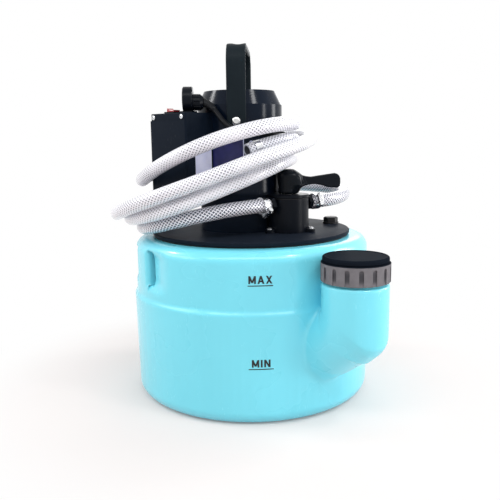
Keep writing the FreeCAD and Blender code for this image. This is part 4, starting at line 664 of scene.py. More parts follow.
TANK_CYAN = BlownPolyethylene("tank polyethylene", (0.185, 0.730, 0.865), 0.27)
CAP_BLACK = CapMoulding("cap black", (0.008, 0.011, 0.017), 0.30, specular=0.0006)
GLOSS_BLACK = Moulded("lever gloss black", (0.005, 0.007, 0.010), 0.20, specular=0.10)
SATIN_BLACK = Moulded(
    "moulded satin black", (0.003, 0.0045, 0.008), 0.30, depth=0.00006, specular=0.10
)
HANDLE_BLACK = Moulded("strap black", (0.009, 0.014, 0.018), 0.44, depth=0.00008, specular=0.06)
RED_ROCKER = Moulded("rocker red", (0.40, 0.022, 0.028), 0.22, specular=0.5, coat=0.3)
GREY_PUMP = Moulded("pump grey", (0.30, 0.31, 0.33), 0.45)
WHITE_INNER = Moulded("inner white", (0.78, 0.77, 0.73), 0.40)
MOTOR_ENAMEL = Painted("motor enamel", (0.003, 0.007, 0.016), 0.15, specular=0.11)
BOX_COAT = Painted("box powder coat", (0.005, 0.009, 0.017), 0.36, depth=0.00006, specular=0.05)
PLATE_COAT = Painted("plate powder coat", (0.010, 0.014, 0.022), 0.42, specular=0.018)
BOLT_BLACK = Painted("bolt black oxide", (0.018, 0.018, 0.020), 0.34)
BRIGHT_STEEL = BareMetal("bright steel", (0.72, 0.72, 0.71), 0.24)
STAINLESS = BareMetal("stainless band", (0.78, 0.79, 0.81), 0.20, lines=(3.0, 3.0, 3.0))
CAST_ROTOR = BareMetal("rotor casting", (0.56, 0.57, 0.58), 0.42)
SEAL_RUBBER = Rubber("seal rubber", (0.020, 0.020, 0.021), 0.58)
LEAD_RUBBER = Rubber("lead sheath", (0.006, 0.007, 0.009), 0.32)
HOSE_BRAID = Braid("hose braid", (0.80, 0.81, 0.88), 0.34)
HOSE_WALL = Printed("hose cut wall", (0.50, 0.53, 0.60), 0.30, (0.42, 0.45, 0.53))
# painted shade: the bore is coloured dark for the shade inside the hose's hole
HOSE_BORE_SHADE = Printed("hose bore shade", (0.045, 0.050, 0.065), 0.50, (0.025, 0.028, 0.040))
LAMINATIONS = Stacked("laminated steel", (0.40, 0.41, 0.43), 0.35)
COPPER_WIRE = Stacked("winding copper", (0.62, 0.26, 0.10), 0.32, 0.0011, (0.20, 0.07, 0.03))
LABEL_NAVY = Printed("label navy", (0.012, 0.014, 0.075), 0.28, (0.022, 0.022, 0.13))
LABEL_WHITE = Printed("label white", (0.62, 0.64, 0.84), 0.30, (0.74, 0.75, 0.90))
MARK_INK = Printed("mark ink", (0.012, 0.012, 0.014), 0.40, (0.020, 0.020, 0.022))

KEPT_NODES: tuple[tuple[Finish, Slot, tuple[str, ...]], ...] = (
    (CAP_BLACK, Slot.BLACK, ("spout_cap",)),
    (SEAL_RUBBER, Slot.RUBBER, ("cap_seal", "plate_gasket", "valve_gasket")),
    (PLATE_COAT, Slot.POWDER, ("top_plate",)),
    (BOLT_BLACK, Slot.POWDER, ("plate_bolts", "plate_washers")),
    (BOX_COAT, Slot.POWDER,
     ("foot_casting", "lower_shield", "upper_shield", "control_box", "box_lid")),
    (BRIGHT_STEEL, Slot.STEEL,
     ("foot_screws", "motor_bearings", "motor_shaft", "handle_screws", "shaft_coupling",
      "lever_screw")),
    (LAMINATIONS, Slot.SHEETS, ("stator_core",)),
    (COPPER_WIRE, Slot.WIRE, ("stator_windings",)),
    (CAST_ROTOR, Slot.ROTOR, ("rotor_core",)),
    (MOTOR_ENAMEL, Slot.ENAMEL, ("motor_shell",)),
    (SATIN_BLACK, Slot.MATTE_BLACK,
     ("cooling_fan", "valve_body", "valve_bonnet", "cable_gland", "gland_nut")),
    (SATIN_BLACK, Slot.BLACK, ("hose_tails",)),
    (GLOSS_BLACK, Slot.BLACK, ("switch_bezel",)),
    (RED_ROCKER, Slot.RED, ("switch_rocker",)),
    (GREY_PUMP, Slot.GREY,
     ("pump_column", "pump_casing", "impeller", "suction_strainer", "riser_pipe",
      "return_pipe")),
    (STAINLESS, Slot.STAINLESS,
     ("pump_shaft", "lug_screws", "lid_screws", "port_clamps", "end_clamps")),
    (WHITE_INNER, Slot.WHITE,
     ("shaft_bush", "valve_rotor", "start_capacitor", "terminal_block")),
)


def add_object(name: str, data: Any) -> bpy.types.Object:
    """A new object of the scene that holds a mesh, curve, lamp or camera.

    Args:
        name: Its name.
        data: What it holds.

    Returns:
        The object.
    """
    made = bpy.data.objects.new(name, data)
    bpy.context.scene.collection.objects.link(made)
    return made


def new_object(name: str, points: Sequence[Any], faces: Sequence[Any]) -> bpy.types.Object:
    """Makes a smooth-shaded mesh object.

    Args:
        name: Its name.
        points: Its corners, in metres.
        faces: Corner numbers of each face.

    Returns:
        The object.
    """
    mesh = bpy.data.meshes.new(name)
    mesh.from_pydata([tuple(point) for point in points], [], faces)
    mesh.shade_smooth()
    mesh.update()
    return add_object(name, mesh)


def skin_of(node: str) -> bpy.types.Object:
    """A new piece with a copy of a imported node's mesh."""
    return add_object(node + "_skin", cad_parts[node].data.copy())


def evaluated_mesh(made: bpy.types.Object) -> bpy.types.Mesh:
    """A mesh of an object with its modifiers, or of a curve's own line.

    Args:
        made: The object.

    Returns:
        The new mesh.
    """
    bpy.context.view_layer.update()
    graph = bpy.context.evaluated_depsgraph_get()
    return bpy.data.meshes.new_from_object(made.evaluated_get(graph), depsgraph=graph)


def keep_modifiers(made: bpy.types.Object) -> None:
    """Turns an object's modifiers into its mesh.

    Args:
        made: The object.
    """
    mesh = evaluated_mesh(made)
    made.modifiers.clear()
    made.data = mesh


def add_voxels(skin: bpy.types.Object, size: float) -> None:
    """Adds a remesh of even voxels.

    Args:
        skin: The piece.
        size: A voxel's edge, in metres.
    """
    remesh = skin.modifiers.new("voxels", "REMESH")
    remesh.mode = "VOXEL"
    remesh.voxel_size = size


def add_smooth(skin: bpy.types.Object, rounds: int, group: str = "") -> None:
    """Adds a smoothing, of all the skin or of a group of its points.

    Args:
        skin: The piece.
        rounds: How often it is smoothed.
        group: The group's name; all of the skin when empty.
    """
    smooth = skin.modifiers.new("smooth", "SMOOTH")
    smooth.iterations = rounds
    smooth.factor = 0.5
    smooth.vertex_group = group


def mesh_points(mesh: bpy.types.Mesh) -> np.ndarray:
    """A mesh's points, one a row.

    Args:
        mesh: The mesh.

    Returns:
        The points.
    """
    flat = np.empty(len(mesh.vertices) * 3, np.float32)
    mesh.vertices.foreach_get("co", flat)
    return flat.reshape(-1, 3).astype(float)


def move_points(mesh: bpy.types.Mesh, points: np.ndarray) -> None:
    """Puts a mesh's points at new places, one a row, and shades it smooth.

    Args:
        mesh: The mesh.
        points: The new places.
    """
    mesh.vertices.foreach_set("co", points.astype(np.float32).ravel())
    mesh.shade_smooth()
    mesh.update()


def ease(values: np.ndarray, low: float, high: float) -> np.ndarray:
    """A smooth step of numbers, from 0 at a low value to 1 at a high one."""
    share = np.clip((values - low) / (high - low), 0.0, 1.0)
    return share * share * (3.0 - 2.0 * share)


def bell(values: np.ndarray, middle: float, width: float) -> np.ndarray:
    """A smooth bell of numbers, 1 at its middle."""
    return np.exp(-(((values - middle) / width) ** 2))


def distance_to_run(points: np.ndarray, start: np.ndarray, end: np.ndarray) -> np.ndarray:
    """Distance of each point from a straight run.

    Args:
        points: The points, one a row.
        start: The run's start.
        end: The run's end.

    Returns:
        The distances.
    """
    line = end - start
    share = np.clip(((points - start) @ line) / (line @ line), 0.0, 1.0)
    return np.linalg.norm(points - (start + share[:, None] * line), axis=1)


def dress(made: bpy.types.Object, finish: Finish, body: Body) -> bpy.types.Object:
    """Gives a new piece its finish and body, and reports it.

    Args:
        made: The piece.
        finish: What it is finished with.
        body: The body that it rides on.

    Returns:
        The same piece.
    """
    made.data.materials.clear()
    made.data.materials.append(finish.material())
    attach(made, body.value)
    LOG.info("piece %s: %s on %s", made.name, finish.name, body.value)
    return made


def spline_line(name: str, route: Sequence[Any], steps: int) -> list[Vector]:
    """Points read from the smooth spline that has a route as its control points.

    Args:
        name: A name for the curve while it exists.
        route: Control points, in metres.
        steps: Points read on each stretch.

    Returns:
        The points in order.
    """
    curve = bpy.data.curves.new(name, "CURVE")
    curve.dimensions = "3D"
    curve.resolution_u = steps
    spline = curve.splines.new("NURBS")
    spline.points.add(len(route) - 1)
    for point, place in zip(spline.points, route):
        point.co = (*place, 1.0)
    spline.order_u = 3
    spline.use_endpoint_u = True
    holder = add_object(name, curve)
    mesh = evaluated_mesh(holder)
    points = [vertex.co.copy() for vertex in mesh.vertices]
    bpy.data.objects.remove(holder)
    bpy.data.meshes.remove(mesh)
    return points


def line_length(points: Sequence[Vector]) -> float:
    """Length along a line of points."""
    return sum((after - before).length for before, after in zip(points, points[1:]))


def carried_frames(points: Sequence[Vector]) -> list[tuple[Vector, Vector]]:
    """Two sideways directions at each point of a line, carried along without twist.

    Args:
        points: The line.

    Returns:
        For each point, its two sideways directions.
    """
    frames = []
    side = Vector((0, 0, 1))
    for number in range(len(points)):
        ahead = points[min(number + 1, len(points) - 1)]
        behind = points[max(number - 1, 0)]
        along = (ahead - behind).normalized()
        if abs(side.dot(along)) > NEARLY_ALONG:
            side = Vector((1, 0, 0))
        side = (side - along * side.dot(along)).normalized()
        frames.append((side, along.cross(side)))
    return frames


def circle_points(
    centre: Vector, sideways: tuple[Vector, Vector], radius: float, around: int
) -> list[Vector]:
    """Points of a circle about a centre, from its two sideways directions.

    Args:
        centre: The centre.
        sideways: The two directions.
        radius: The radius, in metres.
        around: How many points.

    Returns:
        The points in order.
    """
    side, up = sideways
    angles = [2.0 * math.pi * step / around for step in range(around)]
    return [centre + side * (radius * math.cos(angle)) + up * (radius * math.sin(angle))
            for angle in angles]


def ring_faces(rows: int, around: int) -> list[tuple[int, ...]]:
    """Faces that join rings of points to the rings after them.

    Args:
        rows: How many rings.
        around: Points on each.

    Returns:
        Corner numbers of each face.
    """
    faces = []
    for row in range(rows - 1):
        for step in range(around):
            after = (step + 1) % around
            faces.append((row * around + step, row * around + after,
                          (row + 1) * around + after, (row + 1) * around + step))
    return faces


def bore_rings(
    points: Sequence[Vector], frames: Sequence[tuple[Vector, Vector]], bore: float, around: int
) -> tuple[list[list[Vector]], list[list[Vector]]]:
    """Rings of the bore at both cut ends: its mouth and its depth.

    Args:
        points: The tube's line.
        frames: Its sideways directions.
        bore: Radius of the hole; none when 0.
        around: Points around.

    Returns:
        The rings before the first outer ring and after the last one.
    """
    if bore <= 0.0:
        return [], []
    ends = []
    for end, next_one in ((0, 1), (-1, -2)):
        inward = (points[next_one] - points[end]).normalized() * BORE_DEPTH
        mouth = circle_points(points[end], frames[end], bore, around)
        deep = circle_points(points[end] + inward, frames[end], bore, around)
        ends.append([deep, mouth])
    return ends[0], ends[1][::-1]


def swept_tube(
    name: str, points: Sequence[Vector], radii: Sequence[float], around: int, bore: float = 0.0
) -> bpy.types.Object:
    """Sweeps a round tube along a line, closed at both ends.

    Args:
        name: The object's name.
        points: The line that it follows.
        radii: Its radius at each point.
        around: Points around it.
        bore: Radius of the hole at both ends; none when 0.

    Returns:
        The tube, with a UV map that counts turns around and girths along.
    """
    frames = carried_frames(points)
    rings: list[list[Vector]] = []
    heights: list[float] = []
    travel = 0.0
    for number, (point, sideways) in enumerate(zip(points, frames)):
        travel += (point - points[number - 1]).length if number else 0.0
        heights.append(travel / (2.0 * math.pi * max(radii)))
        rings.append(circle_points(point, sideways, radii[number], around))
    before, after = bore_rings(points, frames, bore, around)
    rings = before + rings + after
    heights = [heights[0]] * len(before) + heights + [heights[-1]] * len(after)
    last = (len(rings) - 1) * around
    faces = ring_faces(len(rings), around)
    faces.append(tuple(range(around))[::-1])
    faces.append(tuple(range(last, last + around)))
    tube = new_object(name, [corner for ring in rings for corner in ring], faces)
    layer = tube.data.uv_layers.new(name=TUBE_MAP)
    for face in tube.data.polygons:
        for place, (loop, corner) in enumerate(zip(face.loop_indices, face.vertices)):
            turn = (corner % around) / around
            if len(face.vertices) == 4 and place in (1, 2) and turn == 0.0:
                turn = 1.0
            layer.data[loop].uv = (turn, heights[corner // around])
    return tube


def lathe(
    name: str, profile: Sequence[Pair], around: int, ribs: int = 0, rib_depth: float = 0.0,
    rib_rows: Sequence[int] = (),
) -> bpy.types.Object:
    """Turns a profile about the Z axis, with shallow grooves down some of its rows.

    Args:
        name: The object's name.
        profile: Radii and heights, in metres.
        around: Points around.
        ribs: Number of grooves.
        rib_depth: Their depth, in metres.
        rib_rows: Rows of the profile that carry them.

    Returns:
        The turned object at the origin.
    """
    corners = []
    for row, (radius, height) in enumerate(profile):
        for step in range(around):
            angle = 2.0 * math.pi * step / around
            cut = rib_depth * max(0.0, math.cos(angle * ribs)) if row in rib_rows else 0.0
            reach = radius - cut
            corners.append((reach * math.cos(angle), reach * math.sin(angle), height))
    return new_object(name, corners, ring_faces(len(profile), around))


@dataclass
class BraidedHose:
    """One braided hose from a valve port, wound round the motor to its cut end."""

    name: str
    node: str
    route: Sequence[Place]
    clamps: tuple[str, ...]
    radius: float = 0.0096
    bore: float = 0.0065
    drawn_in: float = 0.0006
    around: int = 40
    steps: int = 14

    def build(self) -> bpy.types.Object:
        """Returns:
            The hose.
        """
        line = spline_line(self.name + "_line", self.route, self.steps)
        radii = [self.radius] * len(line)
        radii[0] = radii[-1] = self.radius - self.drawn_in
        hose = swept_tube(self.name, line, radii, self.around, self.bore)
        dress(hose, HOSE_BRAID, Body.UNIT)
        self.finish_ends(hose)
        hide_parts(self.node)
        LOG.info("hose %s is %.3f m long", self.name, line_length(line))
        return hose

    def finish_ends(self, hose: bpy.types.Object) -> None:
        """Gives the cut wall its own finish, and the bore a dark one that is painted shade inside
        the hole.

        Args:
            hose: The hose, whose outermost rows are the bore and then the wall.
        """
        bore, wall = 2, 1
        hose.data.materials.append(HOSE_WALL.material())
        hose.data.materials.append(HOSE_BORE_SHADE.material())
        rows = len(hose.data.vertices) // self.around
        for face in hose.data.polygons:
            lowest = min(face.vertices) // self.around
            highest = max(face.vertices) // self.around
            from_end = min(lowest, rows - 1 - highest)
            # the outermost rows get the bore's painted shade, the next ones the cut wall
            if from_end < 2:
                face.material_index = wall if from_end else bore


@dataclass
class PowerLead:
    """The mains lead: ribbed relief at the gland, run round the motor, coil and plug."""

    route: Sequence[Place]
    radius: float = 0.0035
    around: int = 14
    steps: int = 6
    centre: Pair = COIL_AXIS
    enter_angle: float = 198.0
    outer: float = 0.0402
    inner: float = 0.0330
    lowest: float = 0.2348
    layer: float = 0.0070
    turns: float = 5.5
    points_a_turn: int = 16
    relief_around: int = 20
    relief_length: float = 0.024
    relief_start: float = 0.0062
    relief_taper: float = 0.0021
    groove: float = 0.0004

    def coil_place(self, turn: float) -> Pair:
        """Where the winding is after a number of turns.

        Args:
            turn: Turns from the start of the coil.

        Returns:
            Its distance from the coil's axis and its height.
        """
        low, mid, high, top = (self.lowest + self.layer * number for number in range(4))
        stages = [
            (0.00, self.outer, high), (0.72, self.outer, high), (0.93, self.outer, mid),
            (1.50, self.outer, mid), (1.70, self.outer, low), (2.28, self.outer, low),
            (2.48, self.inner, low), (3.06, self.inner, low), (3.26, self.inner, mid),
            (3.80, self.inner, mid), (4.00, self.inner, high), (4.58, self.inner, high),
            (4.78, self.inner, top), (6.00, self.inner, top),
        ]
        levels, reaches, heights = zip(*stages)
        stage = min(int(np.searchsorted(levels, turn)), len(stages) - 1)
        share = ease(turn, levels[stage - 1], levels[stage])
        reach = reaches[stage - 1] + (reaches[stage] - reaches[stage - 1]) * share
        height = heights[stage - 1] + (heights[stage] - heights[stage - 1]) * share
        return reach, height

    def coil(self) -> list[Place]:
        """Control points of the coil, wound clockwise from where the run arrives.

        Returns:
            The points in order.
        """
        points = []
        for step in range(1, int(self.turns * self.points_a_turn) + 1):
            turn = step / self.points_a_turn
            reach, height = self.coil_place(turn)
            angle = math.radians(self.enter_angle - 360.0 * turn)
            points.append((self.centre[0] + reach * math.cos(angle),
                           self.centre[1] + reach * math.sin(angle), height))
        return points

    def build(self) -> bpy.types.Object:
        """Returns:
            The lead.
        """
        line = spline_line("lead_line", [*self.route, *self.coil()], self.steps)
        lead = swept_tube("power_lead", line, [self.radius] * len(line), self.around)
        dress(lead, LEAD_RUBBER, Body.UNIT)
        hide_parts("power_cord", "cord_coil")
        relief = self.gland_relief(line)
        plug = MainsPlug(line[-1], (line[-1] - line[-4]).normalized()).build()
        LOG.info("lead is %.3f m long", line_length(line))
        return lead

    def gland_relief(self, line: Sequence[Vector]) -> bpy.types.Object:
        """Builds the tapered relief that follows the lead out of the gland.

        Args:
            line: The lead's line.

        Returns:
            The relief.
        """
        count = 1
        while line_length(line[:count + 1]) <= self.relief_length:
            count += 1
        radii = [self.relief_start - self.relief_taper * number / (count - 1)
                 - (self.groove if number % 2 else 0.0) for number in range(count)]
        relief = swept_tube("gland_relief", line[:count], radii, self.relief_around)
        return dress(relief, LEAD_RUBBER, Body.UNIT)


@dataclass
class MainsPlug:
    """Round mains plug that stands in the coil, pins up, with a moulded elbow for the lead."""

    lead_end: Vector
    lead_heading: Vector
    centre: Pair = COIL_AXIS
    foot: float = 0.2313
    radius: float = 0.0183
    height: float = 0.029
    face_sink: float = 0.0012
    around: int = 144
    ribs: int = 24
    rib_depth: float = 0.0009
    elbow_around: int = 20
    elbow_steps: int = 8
    elbow_overlap: float = 0.004
    elbow_start: float = 0.0038
    elbow_swell: float = 0.0010
    elbow_groove: float = 0.0004
    elbow_reach: float = 0.010
    pin_around: int = 24
    pin_radius: float = 0.0024
    pin_length: float = 0.019
    pin_spacing: float = 0.019

    def build(self) -> list[bpy.types.Object]:
        """Builds the body, elbow and pins.

        Returns:
            The pieces.
        """
        r, h = self.radius, self.height
        face = h - self.face_sink
        profile = [
            (PINHOLE, 0.0), (r - 0.004, 0.0), (r - 0.0012, 0.0010), (r - 0.0004, 0.0034),
            (r - 0.0004, 0.0050), (r, 0.0066), (r, 0.0190), (r - 0.0006, 0.0205),
            (r - 0.0006, 0.0225), (r, 0.0238), (r, h - 0.0016), (r - 0.0005, h - 0.0004),
            (r - 0.0016, h), (r - 0.0030, h), (r - 0.0034, face), (PINHOLE, face),
        ]
        shell = lathe("plug_body", profile, self.around, self.ribs, self.rib_depth, (5, 6))
        shell.data.transform(Matrix.Translation((*self.centre, self.foot)))
        dress(shell, LEAD_RUBBER, Body.UNIT)
        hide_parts("mains_plug")
        return [shell, self.elbow(), self.pins()]

    def elbow(self) -> bpy.types.Object:
        """Builds the moulded elbow from the lead's end into the body.

        Returns:
            The elbow.
        """
        end, ahead = self.lead_end, self.lead_heading * self.elbow_reach
        into = Vector((self.centre[0] + self.radius - 0.003, self.centre[1], end.z))
        corner = Vector((end.x + ahead.x, end.y + ahead.y, end.z))
        near = Vector((into.x + self.elbow_reach, into.y, end.z))
        start = end - self.lead_heading * self.elbow_overlap
        line = spline_line("elbow_line", [start, corner, near, into], self.elbow_steps)
        count = len(line)
        radii = [self.elbow_start + self.elbow_swell * number / count
                 - (self.elbow_groove if number % 2 else 0.0) for number in range(count)]
        piece = swept_tube("plug_elbow", line, radii, self.elbow_around)
        return dress(piece, LEAD_RUBBER, Body.UNIT)

    def pins(self) -> bpy.types.Object:
        """Builds the two pins as one piece.

        Returns:
            The pins.
        """
        r, length = self.pin_radius, self.pin_length + self.face_sink
        profile = [(r, 0.0), (r, length - 0.0018), (r * 0.86, length - 0.0007),
                   (r * 0.45, length), (PINHOLE, length)]
        pin = lathe("plug_pin", profile, self.pin_around)
        shifts = [Vector((side * self.pin_spacing / 2.0, 0.0, 0.0)) for side in (1.0, -1.0)]
        points = [vertex.co + shift for shift in shifts for vertex in pin.data.vertices]
        faces = [tuple(corner + first for corner in face.vertices)
                 for first in (0, len(pin.data.vertices)) for face in pin.data.polygons]
        bpy.data.objects.remove(pin)
        pair = new_object("plug_pins", points, faces)
        top = self.foot + self.height - self.face_sink
        pair.data.transform(Matrix.Translation((*self.centre, top)))
        return dress(pair, BRIGHT_STEEL, Body.UNIT)


@dataclass
class TankSkin:
    """The blow-moulded tank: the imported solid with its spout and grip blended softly."""

    voxel: float = 0.0020
    wall_radius: float = 0.168
    pipe_radius: float = 0.0413
    spout_reach: float = 0.2105
    spout_angle: float = -53.5
    spout_sweep: float = 40.0
    bend_height: float = 0.130
    slope: float = 36.0
    run_up: float = 0.08
    run_in: float = 0.10
    even_rounds: int = 2
    soft_top: float = 0.183
    joint_width: float = 0.008
    joint_rounds: int = 24
    heel_rise: float = 0.004
    heel_width: float = 0.022
    heel_softness: float = 0.30
    heel_clear: float = 0.008
    heel_inset: float = 0.002
    faintest: float = 0.03
    under_drop: float = 0.0025
    under_run: Pair = (0.174, 0.198)
    heel_drop: float = 0.022
    heel_run: Pair = (0.225, 0.254)
    drop_fade: Pair = (0.120, 0.190)
    pocket_start: float = -146.5
    pocket_edge: float = -140.5
    pocket_end: float = -129.0
    pocket_turn: float = 4.5
    pocket_scoop: float = 0.009
    pocket_sill: Pair = (0.158, 0.175)
    pocket_roof: Pair = (0.203, 0.219)
    pocket_depth: Pair = (0.128, 0.150)

    def build(self) -> bpy.types.Object:
        """Builds the skin from the tank's solid.

        Returns:
            The skin.
        """
        skin = skin_of("tank")
        add_voxels(skin, self.voxel)
        keep_modifiers(skin)
        self.soften(skin)
        move_points(skin.data, self.mould(mesh_points(skin.data)))
        dress(skin, TANK_CYAN, Body.UNIT)
        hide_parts("tank")
        LOG.info("tank skin has %d faces", len(skin.data.polygons))
        return skin

    def from_spout(self, place: np.ndarray) -> np.ndarray:
        """Distance of each point from the spout's axis, which has one bend.

        Args:
            place: The points, one a row.

        Returns:
            The distances.
        """
        angle, slope = math.radians(self.spout_angle), math.radians(self.slope)
        out = np.array([math.cos(angle), math.sin(angle), 0.0])
        up = np.array([0.0, 0.0, 1.0])
        bend = out * self.spout_reach + up * self.bend_height
        top = bend + up * self.run_up
        inner = bend - (out * math.cos(slope) + up * math.sin(slope)) * self.run_in
        return np.minimum(distance_to_run(place, bend, top), distance_to_run(place, bend, inner))

    def soften(self, skin: bpy.types.Object) -> None:
        """Smooths the whole skin a little, and the spout's joint and heel a lot.

        Args:
            skin: The skin.
        """
        place = mesh_points(skin.data)
        spout = self.from_spout(place)
        from_axis = np.hypot(place[:, 0], place[:, 1])
        joint = bell(from_axis, self.wall_radius, self.joint_width)
        joint *= bell(spout, self.pipe_radius, self.joint_width)
        heel = bell(place[:, 2], self.bend_height + self.heel_rise, self.heel_width)
        heel *= self.heel_softness * (from_axis > self.wall_radius + self.heel_clear)
        heel *= spout > self.pipe_radius - self.heel_inset
        weight = np.clip(np.maximum(joint, heel), 0.0, 1.0)
        weight[place[:, 2] > self.soft_top] = 0.0
        joint_group = skin.vertex_groups.new(name="joint")
        true_group = skin.vertex_groups.new(name="true")
        for number, share in enumerate(weight):
            if share > self.faintest:
                joint_group.add([number], float(share), "REPLACE")
            true_group.add([number], float(1.0 - share), "REPLACE")
        add_smooth(skin, self.even_rounds)
        add_smooth(skin, self.joint_rounds, "joint")
        fit = skin.modifiers.new("true", "SHRINKWRAP")
        fit.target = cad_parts["tank"]
        fit.vertex_group = "true"
        add_smooth(skin, self.even_rounds)
        keep_modifiers(skin)

    def mould(self, place: np.ndarray) -> np.ndarray:
        """Fills out the elbow's heel and slopes the wall into the grip's pocket.

        Args:
            place: The skin's points, one a row.

        Returns:
            Their new places.
        """
        from_axis = np.hypot(place[:, 0], place[:, 1])
        angle = np.degrees(np.arctan2(place[:, 1], place[:, 0]))
        height = place[:, 2]
        moved = place.copy()
        by_spout = np.abs((angle - self.spout_angle + 180.0) % 360.0 - 180.0) < self.spout_sweep
        drop = self.under_drop * ease(from_axis, *self.under_run)
        drop += self.heel_drop * ease(from_axis, *self.heel_run)
        moved[:, 2] -= drop * (1.0 - ease(height, *self.drop_fade)) * by_spout
        side = (angle > self.pocket_start) * (angle < self.pocket_end)
        share = side * (1.0 - ease(angle, self.pocket_edge, self.pocket_end))
        share *= ease(height, *self.pocket_sill) * (1.0 - ease(height, *self.pocket_roof))
        share *= ease(from_axis, *self.pocket_depth)
        turned = np.radians(angle - self.pocket_turn * share)
        reach = from_axis - self.pocket_scoop * share
        moved[:, 0] = np.where(share > 0.0, reach * np.cos(turned), place[:, 0])
        moved[:, 1] = np.where(share > 0.0, reach * np.sin(turned), place[:, 1])
        return moved


@dataclass
class MouldedSkin:
    """A moulded piece with its sharp joints rounded, as the mould leaves them."""

    node: str
    finish: Finish
    slot: Slot
    body: Body
    voxel: float
    rounds: int

    def build(self) -> bpy.types.Object:
        """Builds the rounded piece from its solid.

        Returns:
            The piece.
        """
        skin = skin_of(self.node)
        add_voxels(skin, self.voxel)
        add_smooth(skin, self.rounds)
        keep_modifiers(skin)
        move_points(skin.data, self.mould(mesh_points(skin.data)))
        dress(skin, self.finish, self.body)
        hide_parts(self.node)
        return skin

    def mould(self, place: np.ndarray) -> np.ndarray:
        """The points where the mould leaves them: as they are on a plain piece."""
        return place


@dataclass
class LeverSkin(MouldedSkin):
    """The valve's lever, with the web below its arm and its broad paddle."""

    axis: Pair = VALVE_AXIS
    arm_height: float = 0.3015
    longer: float = 0.0052
    taller: float = 1.08
    facing: Pair = (0.05, 0.90)
    web_start: Pair = (0.008, 0.013)
    web_end: Pair = (0.020, 0.042)
    arm: Pair = (0.018, 0.045)
    paddle: Pair = (0.020, 0.050)
    web: tuple[Pair, ...] = (
        (0.284, 0.0), (0.290, 0.0032), (0.2965, 0.0080), (0.301, 0.0062), (0.308, 0.0034),
        (0.315, 0.0),
    )

    def mould(self, place: np.ndarray) -> np.ndarray:
        """Spreads the hub below the arm, and makes the arm longer and its paddle taller.

        Args:
            place: The skin's points, one a row.

        Returns:
            Their new places.
        """
        across, deep = place[:, 0] - self.axis[0], place[:, 1] - self.axis[1]
        reach = np.maximum(np.hypot(across, deep), 1e-6)
        spread = np.interp(place[:, 2], *zip(*self.web))
        share = spread * ease(across / reach, *self.facing) * ease(reach, *self.web_start)
        share *= 1.0 - ease(reach, *self.web_end)
        share += self.longer * ease(across, *self.arm)
        moved = place.copy()
        moved[:, 0] += share * across / reach
        moved[:, 1] += share * deep / reach * (across < self.arm[0])
        blade = ease(across, *self.paddle) * (self.taller - 1.0)
        moved[:, 2] += (place[:, 2] - self.arm_height) * blade
        return moved


@dataclass
class CowlSkin:
    """The fan cowl, with the deep sloping crown that its pressing has."""

    rim: float = 0.4126
    top: float = 0.4249
    drop: float = 0.0070
    rim_margin: float = 0.002
    sharp_angle: float = 30.0

    def build(self) -> bpy.types.Object:
        """Builds the cowl from its solid, with the crown's rim lowered.

        Returns:
            The cowl.
        """
        cowl = skin_of("fan_cowl")
        place = mesh_points(cowl.data)
        share = np.clip((self.top - place[:, 2]) / (self.top - self.rim), 0.0, 1.0)
        share[place[:, 2] < self.rim - self.rim_margin] = 0.0
        place[:, 2] -= self.drop * share
        cowl.data.attributes.remove(cowl.data.attributes["custom_normal"])
        move_points(cowl.data, place)
        cowl.data.set_sharp_from_angle(angle=math.radians(self.sharp_angle))
        dress(cowl, MOTOR_ENAMEL, Body.UNIT)
        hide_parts("fan_cowl")
        return cowl


